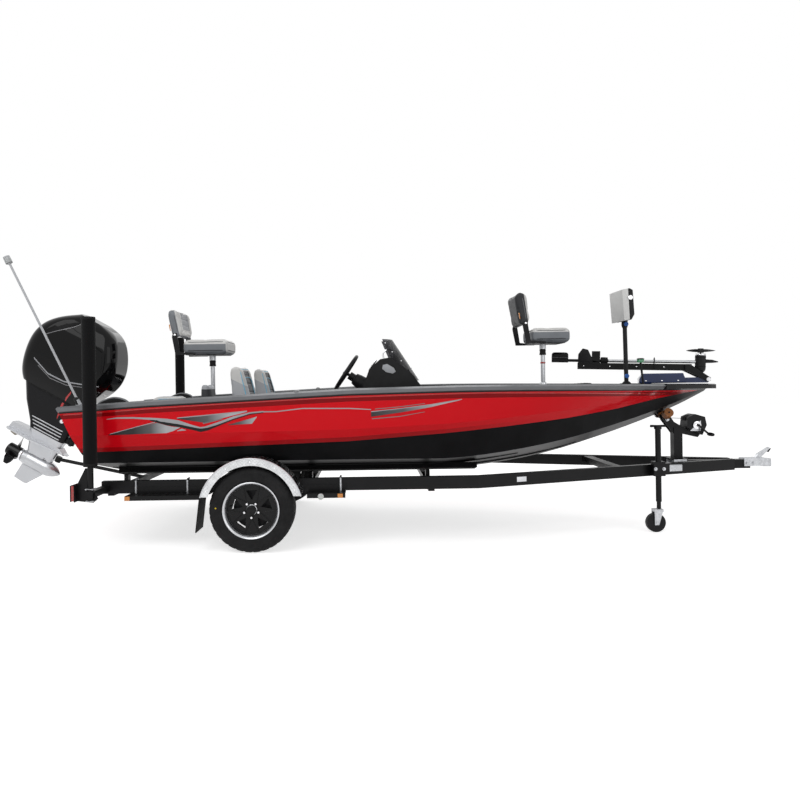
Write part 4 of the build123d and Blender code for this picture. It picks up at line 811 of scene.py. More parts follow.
# ---------------------------------------------------------------- hull graphics, plain swooshes
hull_skin = surface_of(["hull"])
sheer_px = ((63, 408.2), (98, 406), (140, 402.5), (240, 396), (320, 391.4), (400, 388.5), (480, 386), (560, 386),
            (640, 386.6), (665.6, 387))
decal("pinstripe", [(x, y + 6.4, y + 7.4) for x, y in sheer_px], M_REDFILM, hull_skin, row=1)
films = (
    ("sweep_low", M_BLACKFILM,
     ((150, 419.7, 420.8), (156.7, 420.2, 422.5), (166.7, 422.4, 425.3), (178.3, 424.1, 427), (191.7, 426.9, 429.7),
      (200.8, 428.2, 432), (208.3, 427.7, 430.3), (216.7, 424.9, 426.7), (233.3, 418.7, 420), (250, 413.6, 414.7),
      (263.3, 412.1, 412.9))),
    ("sweep_a", M_SILVER,
     ((106.7, 419.1, 419.6), (116.7, 417.4, 418.7), (133.3, 417.1, 418.7), (150, 417.7, 419.8),
      (166.7, 418.7, 422.5), (178.3, 420.2, 424.2), (191.7, 424.7, 427), (200, 427.1, 428.5), (205, 426.5, 428.3),
      (216.7, 422.5, 425), (233.3, 416.3, 418.8), (250, 412.2, 413.7), (263.3, 410.9, 412.2))),
    ("sweep_b", M_SILVER,
     ((263.3, 411.2, 412.4), (276, 411.1, 412.1), (303, 407.9, 408.9), (350, 407.9, 408.9), (371, 409.1, 409.9))),
    ("blade_a", M_FADE,
     ((108.3, 434.7, 435.3), (125, 430.3, 434.7), (141.7, 425.8, 434), (156.7, 422.7, 433.5), (166.7, 425.5, 433.1),
      (173.3, 426.8, 431), (180, 427.2, 427.6))),
    ("blade_b", M_FADE_UP,
     ((177, 418.4, 418.8), (205, 415.8, 422.8), (247, 411.4, 411.8))),
    ("blade_b_top", M_SILVER,
     ((177, 417.6, 418.5), (205, 414.9, 416), (247, 410.6, 411.5))),
    ("blade_a_top", M_SILVER,
     ((110, 433.8, 434.4), (125, 429.7, 430.5), (141.7, 425.2, 426), (155, 421.8, 422.5))),
    ("comet_top", M_SILVER,
     ((371, 411.3, 412.2), (400, 408.3, 409.2), (430, 404.3, 405.2), (462, 398.9, 399.6))),
    ("blade_c", M_SILVER,
     ((176.7, 430.9, 431.2), (181.7, 428.6, 430.8), (186, 430, 430.4))),
    ("blade_d", M_GREYFILM,
     ((203, 421.8, 424), (223, 418.8, 419.2))),
    ("blade_e", M_FADE_MID,
     ((228, 424.8, 425.2), (252, 418.1, 423.7), (257, 416.5, 416.9))),
    ("comet_a", M_FADE_FORE,
     ((371, 412, 416.8), (400, 409, 412.6), (430, 405, 407.2), (460, 399.8, 400.2))),
    ("comet_b", M_GREYFILM,
     ((375, 408.7, 409.3), (400, 406.4, 407.1), (425, 403.2, 403.7))),
    ("comet_c", M_GREYFILM,
     ((372, 418.4, 419.2), (400, 416, 416.7), (425, 411.6, 412))),
)
for name, mat, columns in films:
    decal("film_" + name, columns, mat, hull_skin, row=1.5)

# Motor cover lines, and a painted highlight along the vent groove
cowl_skin = surface_of(["cowl"])
for name, mat, columns in (
    ("line_a", M_SILVER, ((34, 356.8, 358.4), (47.8, 372.6, 374.2), (63.8, 380.8, 382.1), (82.9, 384.1, 385.3),
                          (98.9, 386.5, 387.4))),
    ("line_b", M_GREYFILM, ((38, 364.6, 365.6), (50, 377.6, 378.6), (66, 384.6, 385.4), (90, 388.3, 388.9))),
    ("groove", M_DARK, ((45, 332.4, 333.6), (55, 327.2, 331), (64, 324.6, 329), (74, 322.8, 326.8),
                        (83, 322.4, 323.6))),
    # painted highlight: a grey film on the lower lip of the vent groove stands in for light catching its edge
    ("groove_edge", M_GREYFILM, ((46, 333.6, 334.3), (55, 331, 331.7), (64, 329, 329.7), (74, 326.8, 327.4),
                                 (83, 323.6, 324))),
):
    decal("cowl_" + name, columns, mat, cowl_skin, "outboard", row=1.5, step=3)
for name, mat, columns in (
    ("arc", M_REDFILM, ((57, 417, 419.4), (59, 410, 415), (61.4, 404, 408.5), (66, 397.2, 400.4),
                        (71, 391.3, 393.4))),
    ("bar", M_GREYFILM, ((98, 391.6, 392.6), (108, 396.2, 397.2))),
):
    decal("cowl_" + name, columns, mat, surface_of(["cowl", "midsection"]), "outboard", row=1.5, step=2)

# Raised running strakes along the hull bottom, found from below
for row_name, breadth, first, last in (("inner", 250, 0.25, 4.3), ("outer", 560, 0.25, 3.7)):
    for side, tag in SIDES:
        path = []
        for k in range(29):
            station = first + (last - first) * k / 28
            half = breadth * (1 - 0.62 * max(0, (station - 3.0) / 1.6) ** 1.6)
            start = LEVEL @ Vector((STERN + station, side * half / 1000, 0.2))
            hit = hull_skin.ray_cast(start, Vector((0, 0, 1)))[0]
            if hit is not None:
                path.append(hit)
        sizes = [0.006 + 0.007 * min(1, k / 4, (len(path) - 1 - k) / 4) for k in range(len(path))]
        tube(f"strake_{row_name}_{tag}", path, sizes, M_BLACK, ROOT, WORLD, sides=6, flat=1.0, crease=20)

# ---------------------------------------------------------------- wheels
def tyre(side):
    """Tyre with a rounded sidewall, beads, rib rings and cut tread."""
    centre = st(AXLE_STATION, 0, HUB_HEIGHT)
    prof = [(954, 197, 0), (948, 202, 0), (942, 208, 0), (936, 218, 0), (930, 236, 0), (927.5, 250, 0),
            (927, 268, 0), (929, 284, 0), (934, 298, 0), (940, 309, 0), (947, 317, 2), (956, 323, 2),
            (966, 326.5, 2), (972, 327.2, 2), (973, 320, 0), (980, 320, 0), (981, 327.6, 1), (1002, 328, 1),
            (1003, 320, 0), (1009, 320, 0), (1010, 328, 3), (1050, 328, 3), (1051, 320, 0), (1057, 320, 0),
            (1058, 328, 1), (1079, 327.6, 1), (1080, 320, 0), (1087, 320, 0), (1088, 327.2, 2), (1094, 326.5, 2),
            (1104, 323, 2), (1113, 317, 2), (1120, 309, 0), (1126, 298, 0), (1129.5, 290, 0), (1131.5, 288, 0),
            (1131.8, 284, 0), (1130.6, 282, 0), (1132, 268, 0), (1132.5, 250, 0), (1131, 238, 0), (1132, 235, 0),
            (1131, 232, 0), (1127, 222, 0), (1122, 212, 0), (1116, 205, 0), (1108, 198, 0)]
    steps = 240
    loops = []
    for k in range(steps):
        t = 2 * pi * k / steps
        ring = []
        for y, r, kind in prof:
            phase = (k + (4 if kind == 1 and y > 1030 else 0) + (2 if kind == 3 else 0)) % 8
            cut = {0: 0, 1: 5 if phase == 0 else 0, 2: 3 if phase in (4, 5) else 0,
                   3: 4.5 if phase == 0 else 0}[kind]
            radius = (r - cut) / 1000
            ring.append(centre + Vector((radius * cos(t), side * y / 1000, radius * sin(t))))
        loops.append(ring)
    loops.append([v.copy() for v in loops[0]])
    bm = bmesh.new()
    rings = [[bm.verts.new(p) for p in loop] for loop in loops]
    for a, b in zip(rings, rings[1:]):
        for i in range(len(prof) - 1):
            bm.faces.new((a[i], a[i + 1], b[i + 1], b[i]))
    bmesh.ops.remove_doubles(bm, verts=bm.verts, dist=1e-6)
    return finish_mesh(bm, "tyre_skin_" + "sp"[side > 0], M_TYRE, "left_wheel" if side > 0 else "right_wheel",
                       crease=30)


for side, tag in SIDES:
    body = "left_wheel" if side > 0 else "right_wheel"
    out = (0, side, 0)
    hub = st(AXLE_STATION, 0, HUB_HEIGHT)
    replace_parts(tyre(side), "tyre_left" if side > 0 else "tyre_right")
    lathe("rim_flange_" + tag, [(0.205, 1.118), (0.2125, 1.1255), (0.2172, 1.130), (0.2172, 1.134), (0.214, 1.1355),
                                (0.209, 1.1335), (0.200, 1.122), (0.193, 1.108), (0.1885, 1.096), (0.1862, 1.0905),
                                (0.1855, 1.0855)], hub, out, M_RIM, body, steps=96, caps=False)
    lathe("rim_barrel_" + tag, [(0.1868, 1.083), (0.1862, 1.0), (0.187, 0.952), (0.2, 0.948)], hub, out, M_RIMBLACK,
          body, steps=72, caps=False)
    cap = [(0.0362, 1.085), (0.0368, 1.118), (0.035, 1.127), (0.029, 1.1305), (0.018, 1.1325), (0.006, 1.1332),
           (0.0, 1.1334)]
    lathe("hub_cap_" + tag, cap, hub, out, M_RIMBLACK, body, steps=48, caps=False)
    lathe("brake_drum_" + tag, [(0.040, 1.032), (0.150, 1.032), (0.153, 1.028), (0.153, 0.985), (0.148, 0.981),
                                (0.040, 0.981)], hub, out, M_SPRING, body, steps=48, caps=False)
    lathe("hub_ring_" + tag, [(0.040, 1.085), (0.040, 1.093), (0.0372, 1.095)], hub, out, M_RIM, body, steps=48,
          caps=False)
    for k in range(5):
        t = radians(90 + 36 + 72 * k)
        where = hub + Vector((0.0572 * cos(t), side * 1.0905, 0.0572 * sin(t)))
        seat = lathe("nut_seat", [(0.0155, -0.001), (0.0135, 0.001), (0.0115, 0.0015)], where, out, M_DARK, body,
                     steps=24)
        nut = lathe("nut", [(0.0105, 0.0), (0.0105, 0.020), (0.0085, 0.024), (0.004, 0.0255), (0.0, 0.0258)], where,
                    out, M_CHROME, body, steps=6, crease=20)
        join(f"wheel_nut_{tag}{k}", [nut, seat])
        t = radians(90 + 72 * k)
        for edge in (-1, 1):
            a = hub + Vector((0.070 * cos(t + edge * 0.62), side * 1.0915, 0.070 * sin(t + edge * 0.62)))
            b = hub + Vector((0.178 * cos(t + edge * 0.34), side * 1.0915, 0.178 * sin(t + edge * 0.34)))
            tube(f"spoke_rib_{tag}{k}{'ab'[edge > 0]}", [a, b], [0.003, 0.0042], M_RIMBLACK, body, sides=8)
    valve = hub + Vector((-0.168, side * 1.088, 0.03))
    tube("valve_" + tag, [valve, valve + Vector((0.012, side * 0.03, 0))], [0.005, 0.0035], M_DARK, body, sides=12)
    dot = hub + Vector((-0.268, side * 1.1325, 0.022))
    lathe("tyre_dot_" + tag, [(0.006, -0.002), (0.006, 0.0006), (0.0, 0.0007)], dot, out, M_YELLOW, body, steps=20)

# ---------------------------------------------------------------- outboard
for name, b, wide, aft, fore in (("a", -300, 92, -565, -168), ("b", -330, 85, -548, -168),
                                 ("c", -360, 78, -532, -168), ("d", -392, 71, -512, -172)):
    rib = [(aft, 0.0), (aft + 12, wide * 0.7), (aft + 60, wide), (fore - 40, wide), (fore, wide * 0.75)]
    rib = [(a / 1000, y / 1000) for a, y in rib] + [(a / 1000, -y / 1000) for a, y in reversed(rib[1:])]
    slab("leg_rib_" + name, rib, (b - 5) / 1000, (b + 5) / 1000, M_CAST, "outboard", MOTOR, across="z", bevel=0.003)
apron = [(-735, 0), (-722, 80), (-660, 148), (-500, 163), (-260, 160), (-160, 118), (-138, 0)]
apron = [(a / 1000, y / 1000) for a, y in apron] + [(a / 1000, -y / 1000) for a, y in reversed(apron[1:-1])]
slab("cowl_latch_band", apron, -0.046, -0.018, M_DARK, "outboard", MOTOR, across="z", bevel=0.006)
slab("latch_plate", [(-0.765, -0.02), (-0.752, -0.02), (-0.78, 0.09), (-0.792, 0.09)], -0.03, 0.03, M_CHROME,
     "outboard", MOTOR, bevel=0.003)
slab("anode", [(-0.655, -0.508), (-0.655, -0.550), (-0.600, -0.560), (-0.572, -0.508)], -0.018, 0.018, M_ANODE,
     "outboard", MOTOR, bevel=0.006)
for side, tag in SIDES:
    for k in range(5):
        z = -0.615 - 0.012 * k
        tube(f"intake_{tag}{k}", [(-0.26, side * 0.034, z), (-0.20, side * 0.030, z)], 0.0028, M_DARK, "outboard",
             MOTOR, sides=8)
    bolt(f"leg_bolt_{tag}", (-0.24, side * 0.108, -0.215), (0, side, 0), 0.012, 0.012, M_CHROME, "outboard", MOTOR)
    for k, (x, z) in enumerate(((-10, 1000), (-14, 900), (-6, 800))):
        bolt(f"clamp_bolt_{tag}{k}", st(x, side * 118, z), (0, side, 0), 0.011, 0.010, M_CHROME, ROOT)
lathe("tilt_cap", [(0.022, -0.128), (0.024, -0.124), (0.024, 0.124), (0.022, 0.128)], st(-72, 0, 1044), (0, 1, 0),
      M_CHROME, ROOT, steps=32)


def screw(name, centre, axis, hub_r, tip_r, chord, pitch, blades, mat, body, where, start=0.0):
    """Propeller blades with a helical twist and a swept outline."""
    axis = Vector(axis).normalized()
    u, v = basis(axis)
    pieces = []
    for k in range(blades):
        turn = start + 2 * pi * k / blades
        loops = []
        for i in range(13):
            s = i / 12
            r = hub_r * 0.93 + (tip_r - hub_r * 0.93) * s
            wide = chord * (0.55 + 1.1 * s - 1.25 * s ** 2.6) * (1 - 0.9 * max(0, s - 0.86) / 0.14)
            wide = max(wide, chord * 0.04)
            thick = 0.0065 * (1 - s) + 0.0016
            twist = atan2(pitch, 2 * pi * r)
            loop = []
            for q in range(12):
                a = 2 * pi * q / 12
                c, h = wide * 0.5 * cos(a), thick * sin(a)
                along = c * sin(twist) + h * cos(twist)
                round_by = (c * cos(twist) - h * sin(twist)) / r + 0.16 * s
                ang = turn + round_by
                loop.append(Vector(centre) + axis * along + (u * cos(ang) + v * sin(ang)) * r)
            loops.append(loop)
        pieces.append(loft(f"{name}_{k}", loops, mat, body, where, crease=60))
    return join(name, pieces)


hub_mid = (-0.525, 0, -0.692)
blades = screw("propeller_blades", hub_mid, (1, 0, 0), 0.054, 0.167, 0.128, 0.36, 3, M_PROP, "outboard_propeller",
               MOTOR, start=0.4)
hub_piece = lathe("propeller_hub", [(0.052, -0.078), (0.0555, -0.074), (0.0555, 0.04), (0.0545, 0.072),
                                    (0.050, 0.0745), (0.012, 0.0745)], hub_mid, (1, 0, 0), M_PROP,
                                    "outboard_propeller", MOTOR, steps=56)
ring = lathe("propeller_ring", [(0.0562, 0.052), (0.0588, 0.056), (0.0588, 0.070), (0.056, 0.0742)], hub_mid,
             (1, 0, 0), M_CHROME, "outboard_propeller", MOTOR, steps=56)
spinner = lathe("propeller_nut", [(0.030, -0.079), (0.026, -0.086), (0.012, -0.092), (0.0, -0.093)], hub_mid,
                (1, 0, 0), M_CHROME, "outboard_propeller", MOTOR, steps=24)
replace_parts(join("propeller_skin", [blades, hub_piece, ring, spinner]), "propeller")

for side, tag in SIDES:
    arch = [st(x, side * 930, z) for x, z in ((274, 1096), (282, 1136), (326, 1169), (389, 1191), (429, 1195),
                                              (476, 1187), (516, 1169), (538, 1140), (542, 1096))]
    fill_in = [(p.x, p.z) for p in smooth_path(arch, 4)]
    slab("stern_arch_fill_" + tag, fill_in, side * 0.930 - 0.016, side * 0.930 + 0.016, M_MATT, ROOT, bevel=0.003)
    tube("stern_arch_rail_" + tag, arch, [0.011] * 65, M_RAIL, ROOT, curved=True)

decal("tongue_plate", ((669.5, 461.6, 471.4), (682, 461.0, 470.8)), M_STEEL,
      surface_of(["trailer_frame", "winch_stand"]), lift=0.003, mirror=False)

# ---------------------------------------------------------------- upholstery
PADS = []
PAD_CAP, VOXEL = 0.014, 0.009         # how far the cloth may move a point, grid of the remesh
LAST_FRAME = 20


def pad(name, outline, y, mat, body, shrink=0.010, bevel=0.030):
    """Cushion blown up by cloth pressure from a slightly smaller rounded block; outline of (station, height)."""
    cx = sum(p[0] for p in outline) / len(outline)
    cz = sum(p[1] for p in outline) / len(outline)
    pts = []
    for x, z in outline:
        away = Vector((x - cx, z - cz))
        away = away * max(0.0, 1 - shrink * 1000 / max(away.length, 1))
        pts.append((STERN + (cx + away.x) / 1000, (cz + away.y) / 1000))
    piece = slab(name, pts, y[0] / 1000 + shrink, y[1] / 1000 - shrink, mat, body, bevel=bevel, steps=4)
    plain = piece.data
    remesh = piece.modifiers.new("remesh", "REMESH")
    remesh.mode = "VOXEL"
    remesh.voxel_size = VOXEL
    graph = bpy.context.evaluated_depsgraph_get()
    piece.data = bpy.data.meshes.new_from_object(piece.evaluated_get(graph))
    piece.modifiers.clear()
    bpy.data.meshes.remove(plain)
    PADS.append((piece, mat))
    return piece


SHAPES = {}


def sculpt(piece):
    """Press a seat panel and its sewn channels into the face of a pad, inwards only."""
    face_x, mid_y, half_y, low, high, deep, gap, lines = SHAPES[piece.name]
    back = LEVEL.inverted()
    mesh = piece.data
    normals = [v.normal.copy() for v in mesh.vertices]
    for v, n in zip(mesh.vertices, normals):
        p = back @ v.co
        facing = n.x if face_x else n.z
        if facing < 0.35:
            continue
        along = p.z if face_x else p.x - STERN
        edge = min(half_y - abs(p.y - mid_y), along - low, high - along)
        share = max(0.0, min(1.0, edge / 0.03 + 0.5))
        share = share * share * (3 - 2 * share)
        press = deep * share
        press += 0.0035 * max(0.0, 1 - (edge / 0.007) ** 2) if abs(edge) < 0.007 else 0.0
        if edge > 0 and lines:
            place = along if lines == "across" else p.y - mid_y
            off = abs((place / gap) % 1.0 - 0.5) * gap
            press += 0.0045 * share * max(0.0, 1 - (off / 0.009) ** 2)
        v.co -= (Vector((1, 0, 0.1)) if face_x else Vector((0, 0, 1))) * press * facing
    mesh.update()


def blow_up():
    """Run one cloth pass for all the pads together, cap how far a point moves and smooth the result."""
    before = {}
    for piece, mat in PADS:
        before[piece.name] = [v.co.copy() for v in piece.data.vertices]
        cloth = piece.modifiers.new("cloth", "CLOTH")
        s = cloth.settings
        s.use_pressure = True
        s.uniform_pressure_force = 4.0
        s.quality = 5
        s.tension_stiffness = 12
        s.compression_stiffness = 12
        s.bending_stiffness = 0.6
        s.effector_weights.gravity = 0.0
        cloth.collision_settings.use_collision = False
        cloth.point_cache.frame_start = 1
        cloth.point_cache.frame_end = LAST_FRAME
    for frame_no in range(1, LAST_FRAME + 1):
        bpy.context.scene.frame_set(frame_no)
    graph = bpy.context.evaluated_depsgraph_get()
    for piece, mat in PADS:
        mesh = bpy.data.meshes.new_from_object(piece.evaluated_get(graph))
        piece.modifiers.clear()
        for v, old in zip(mesh.vertices, before[piece.name]):
            move = v.co - old
            if move.length > PAD_CAP:
                v.co = old + move * (PAD_CAP / move.length)
        piece.data = mesh
        sub = piece.modifiers.new("smooth", "SUBSURF")
        sub.levels = sub.render_levels = 1
        soft = piece.modifiers.new("relax", "SMOOTH")
        soft.iterations = 4
        soft.factor = 0.5
        piece.data = bpy.data.meshes.new_from_object(piece.evaluated_get(bpy.context.evaluated_depsgraph_get()))
        piece.modifiers.clear()
        if piece.name in SHAPES:
            sculpt(piece)
        piece.data.materials.clear()
        piece.data.materials.append(mat)
        for face in piece.data.polygons:
            face.use_smooth = True
    bpy.context.scene.frame_set(1)


def welt(name, piece, loop, mat, body, radius=0.004, sink=0.001):
    """Piping laid on a pad along a closed loop of (station, breadth, height) corners."""
    tree = surface_of([piece])
    pts = []
    corners = [LEVEL @ st(*p) for p in loop]
    for a, b in zip(corners, corners[1:] + corners[:1]):
        n = max(2, int((b - a).length / 0.03))
        pts += [a.lerp(b, k / n) for k in range(n)]
    path = []
    for p in pts:
        spot, normal = tree.find_nearest(p)[:2]
        path.append(spot - normal * sink if normal is not None else spot)
    for _ in range(3):
        path = [(path[i - 1] + path[i] * 2 + path[(i + 1) % len(path)]) / 4 for i in range(len(path))]
    path.append(path[0])
    path.append(path[1])
    return tube(name, path, radius, mat, body, WORLD, sides=8)


def rect(x, y, z):
    return [(x[0], y[0], z), (x[1], y[0], z), (x[1], y[1], z), (x[0], y[1], z)]


# name, station of the pole, height of the pan, half width, depth, reach ahead of the pole, height of the back, deck
SEATS = (("rear", 980, 1561, 215, 450, 200, 254, 1098), ("front", 4060, 1621, 205, 400, 226, 306, 1200))
SEAT_COVERS = {"rear": (M_REARPAN, M_REARREST), "front": (M_FRONTPAN, M_FRONTREST)}
HINGE_BACK, HINGE_UP, PAN_UP = 32, 180, 12.3
welts = []
for tag, y in (("s", (-780, -330)), ("p", (310, 780))):
    body = ROOT
    seat = pad("bench_cushion_" + tag, [(1472, 902), (1848, 902), (1848, 1006), (1472, 1006)], y, M_SEATPAN, body)
    back = pad("bench_back_" + tag, [(1462, 902), (1462, 1060), (1452, 1190), (1378, 1438), (1346, 1458),
                                     (1302, 1438), (1312, 1200), (1342, 902)], y, M_SEATBACK, body, bevel=0.034)
    SHAPES[seat.name] = (False, sum(y) / 2000, 0.17, 1.53, 1.79, 0.008, 0.075, "along")
    SHAPES[back.name] = (True, sum(y) / 2000, 0.125, 1.08, 1.40, 0.012, 0.07, "across")
    for kind, piece, loop in (
        ("welt", seat, rect((1480, 1840), (y[0] + 10, y[1] - 10), 1012)),
        ("skirt", seat, [(1846, y[0] + 12, 950), (1846, y[1] - 12, 950), (1480, y[1] - 2, 950),
                         (1480, y[0] + 2, 950)]),
        ("front", back, [(1456, y[0] + 14, 1060), (1400, y[0] + 14, 1436), (1400, y[1] - 14, 1436),
                         (1456, y[1] - 14, 1060)]),
        ("panel", back, [(1450, y[0] + 90, 1090), (1412, y[0] + 90, 1350), (1412, y[1] - 90, 1350),
                         (1450, y[1] - 90, 1090)]),
    ):
        welts.append((f"bench_{kind}_{tag}", piece, loop, M_BLUE, body))
pad("step_pad", [(972, 1100), (1058, 1100), (1030, 1300), (972, 1300)], (-420, -150), M_SEATBACK2, ROOT,
    bevel=0.022)
aft = pad("aft_pad", [(560, 1100), (878, 1100), (866, 1184), (612, 1184)], (-640, -380), M_SEATPAN2, ROOT,
          bevel=0.020)
welts.append(("aft_pad_welt", aft, rect((614, 860), (-632, -388), 1186), M_BLUE, ROOT))
for name, station, top, width, depth, reach, high, base in SEATS:
    fx = station + reach
    rx = fx - depth
    cz = top + PAN_UP
    hx, hz = rx - HINGE_BACK, top + HINGE_UP
    cushion = pad(name + "_pan", [(rx + 10, cz + 2), (fx, cz + 2), (fx, cz + 118), (rx + 10, cz + 118)],
                  (-width, width), SEAT_COVERS[name][0], name + "_seat", bevel=0.034)
    low = hz - 26
    back = pad(name + "_rest", [(hx - 30, low), (hx + 30, low), (hx + 42, low + 60), (hx + 10, low + high),
                                (hx - 40, low + high + 24), (hx - 78, low + high)], (-width + 8, width - 8),
                                SEAT_COVERS[name][1], name + "_backrest", bevel=0.026, shrink=0.008)
    SHAPES[cushion.name] = (False, 0.0, width / 1000 - 0.075, rx / 1000 + 0.06, fx / 1000 - 0.075, 0.009, 0.07,
                            "across")
    SHAPES[back.name] = (True, 0.0, 0.125, hz / 1000 + 0.035, (hz + high) / 1000 - 0.045, 0.013, 0.055, "across")
    welts.append((name + "_pan_welt", cushion, rect((rx + 20, fx - 8), (-width + 8, width - 8), cz + 116), M_GREY,
                  name + "_seat"))
    welts.append((name + "_pan_base", cushion, rect((rx + 16, fx - 4), (-width + 6, width - 6), cz + 22), M_CHAR,
                  name + "_seat"))
    welts.append((name + "_rest_welt", back,
                  [(hx + 24, -width + 12, low + 20), (hx - 24, -width + 12, low + high),
                   (hx - 24, width - 12, low + high), (hx + 24, width - 12, low + 20)], M_GREY, name + "_backrest"))
blow_up()
by_name = {piece.name: piece for piece, mat in PADS}
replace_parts(by_name["bench_cushion_s"], "cockpit_cushions")
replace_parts(by_name["bench_back_s"], "cockpit_backrests")
for name in ("rear", "front"):
    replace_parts(by_name[name + "_pan"], name + "_seat_cushion")
    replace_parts(by_name[name + "_rest"], name + "_seat_back")
for name, piece, loop, mat, body in welts:
    welt(name, piece, loop, mat, body)
for name, station, top, width, depth, reach, high, base in SEATS:
    rx = station + reach - depth
    hx, hz = rx - HINGE_BACK, top + HINGE_UP
    for side, tag in SIDES:
        bolt(f"{name}_hinge_{tag}", st(hx, side * (width + 12), hz), (0, side, 0), 0.012, 0.012, M_CHROME,
             name + "_seat", dome=True)
    slab(name + "_pull_tag", [(STERN + (hx - 50) / 1000, (hz + 40) / 1000),
                              (STERN + (hx - 44) / 1000, (hz + 40) / 1000),
                              (STERN + (hx - 50) / 1000, (hz + 96) / 1000),
                              (STERN + (hx - 60) / 1000, (hz + 96) / 1000)], -(width - 6) / 1000,
                              -(width - 12) / 1000, M_AMBER, name + "_backrest", bevel=0.001)
    for k, (z, r) in enumerate(((0, 32), (top - 100, 27))):
        lathe(f"{name}_collar_{k}", [(0.0205, 0.0), (r / 1000 + 0.004, 0.0), (r / 1000, 0.03), (0.030, 0.05),
                                     (0.0205, 0.055)], st(station, 0, base + 14 if k == 0 else z), (0, 0, 1),
                                     M_MATT if k else M_ALU, ROOT, steps=40, caps=False)
    for k in range(6):
        t = 2 * pi * k / 6 + 0.3
        bolt(f"{name}_base_bolt_{k}", st(station + 78 * cos(t), 78 * sin(t), base + 14), (0, 0, 1), 0.008, 0.006,
             M_CHROME, ROOT, dome=True)
lathe("front_pole_ring", [(0.0205, 0), (0.0235, 0.002), (0.0235, 0.014), (0.0205, 0.016)], st(4060, 0, 1440),
      (0, 0, 1), M_RED, ROOT, steps=40, caps=False)

# ---------------------------------------------------------------- console, screen and wheel
def on_console(points):
    """Outline in metres from (station, height) points in millimetres."""
    return [(STERN + p[0] / 1000, p[1] / 1000) for p in points]


for k, (y, r) in enumerate(((-480, 40), (-562, 52), (-644, 40))):
    normal = Vector((-0.78, 0, 0.6)).normalized()
    spot = st(2472, y, 1432)
    lathe(f"gauge_bezel_{k}", [(r / 1000, -0.004), (r / 1000 + 0.006, 0.006), (r / 1000, 0.010),
                               (r / 1000 - 0.006, 0.006)], spot, normal, M_CHROME, ROOT, steps=48)
    lathe(f"gauge_face_{k}", [(r / 1000 - 0.006, 0.0), (r / 1000 - 0.006, 0.0065), (0.0, 0.0068)], spot, normal,
          M_DIAL, ROOT, steps=48)
for k in range(6):
    normal = Vector((-0.97, 0, 0.25)).normalized()
    slab(f"switch_{k}", [(STERN + 2.383, 1.20), (STERN + 2.371, 1.222), (STERN + 2.392, 1.232)],
         (-700 + 34 * k) / 1000, (-676 + 34 * k) / 1000, M_DARK, ROOT, bevel=0.003)
rim = st(2243, -562, 1372)
col = Vector((cos(radians(34)), 0, -sin(radians(34))))
lathe("helm_boss", [(0.040, 0.006), (0.038, -0.010), (0.030, -0.018), (0.014, -0.022), (0.0, -0.0225)], rim, col,
      M_MATT, "helm_wheel", steps=48)
lathe("helm_badge", [(0.018, -0.020), (0.016, -0.0245), (0.0, -0.0255)], rim, col, M_ALU, "helm_wheel", steps=40)
lathe("helm_hood", [(0.034, 0.080), (0.048, 0.084), (0.056, 0.120), (0.064, 0.190), (0.066, 0.260)], rim, col,
      M_MATT, ROOT, steps=48, caps=False)
wu = Vector((0, 1, 0))
wv = (-col).cross(wu)
for k in range(3):
    t = radians(90 + 120 * k)
    d = wu * cos(t) + wv * sin(t)
    across = wu * -sin(t) + wv * cos(t)
    loops = []
    for s, wide, deep in ((0.03, 0.017, 0.007), (0.07, 0.013, 0.0065), (0.12, 0.011, 0.006), (0.152, 0.015, 0.007)):
        turns = [2 * pi * q / 12 for q in range(12)]
        loops.append([rim + d * s + across * wide * cos(a) + col * (deep * sin(a) - 0.001) for a in turns])
    loft(f"helm_spoke_{k}", loops, M_MATT, "helm_wheel")
for k, (px, py) in enumerate(((385, 343), (392, 352), (401, 361), (411, 368), (421, 374))):
    hit = surface_of(["windshield"]).ray_cast(EYE, ray(px, py))
    if hit[0] is not None:
        bolt(f"screen_bolt_{k}", hit[0], -hit[1] if hit[1].dot(hit[0] - EYE) > 0 else hit[1], 0.006, 0.006,
             M_CHROME, ROOT, WORLD, dome=True)
slab("side_plate", [(STERN + 2.575, 1.372), (STERN + 2.545, 1.40), (STERN + 2.55, 1.43), (STERN + 2.585, 1.438),
                    (STERN + 2.64, 1.405), (STERN + 2.655, 1.375), (STERN + 2.63, 1.358)], -0.799, -0.7945,
                    M_SILVER, ROOT, bevel=0.002)
tube("console_loop", [st(2560, -700, 1480), st(2556, -700, 1530), st(2590, -700, 1556), st(2630, -700, 1540),
                      st(2634, -700, 1470)], 0.0065, M_CHROME, ROOT, curved=True)
box("throttle_face", (2200, 2350), (-733, -728), (1030, 1100), M_DIAL, 0.002)

# ---------------------------------------------------------------- bow gear
sx, sy, sz = 4740, -250, 1200
slab("sonar_sunhood", on_console([(sx - 87, sz + 867), (sx - 32, sz + 876), (sx - 20, sz + 604),
                                  (sx - 69, sz + 596)]), -0.401, -0.099, M_WHITE, ROOT, bevel=0.005)
slab("sonar_body", on_console([(sx - 31, sz + 877), (sx - 20, sz + 879), (sx + 9, sz + 863), (sx + 21, sz + 650),
                               (sx - 5, sz + 603), (sx - 19, sz + 602)]), -0.401, -0.099, M_MATT, ROOT, bevel=0.008)
lathe("sonar_neck", [(0.022, 0.0), (0.028, 0.02), (0.026, 0.06), (0.019, 0.075)], st(sx - 9, sy, sz + 545),
      (0, 0, 1), M_MATT, ROOT, steps=32)
lathe("sonar_knob_top", [(0.012, 0.0), (0.020, 0.004), (0.020, 0.022), (0.014, 0.027), (0.0, 0.028)],
      st(sx - 20, sy - 148, sz + 795), (0, -1, 0), M_CHROME, ROOT, steps=28)
for k, z in enumerate((575, 112)):
    lathe(f"post_knob_{k}", [(0.010, 0.0), (0.019, 0.003), (0.019, 0.022), (0.0, 0.024)],
          st(sx - 8, sy - 16, sz + z), (0, -1, 0), M_BLUEKNOB, ROOT, steps=20)
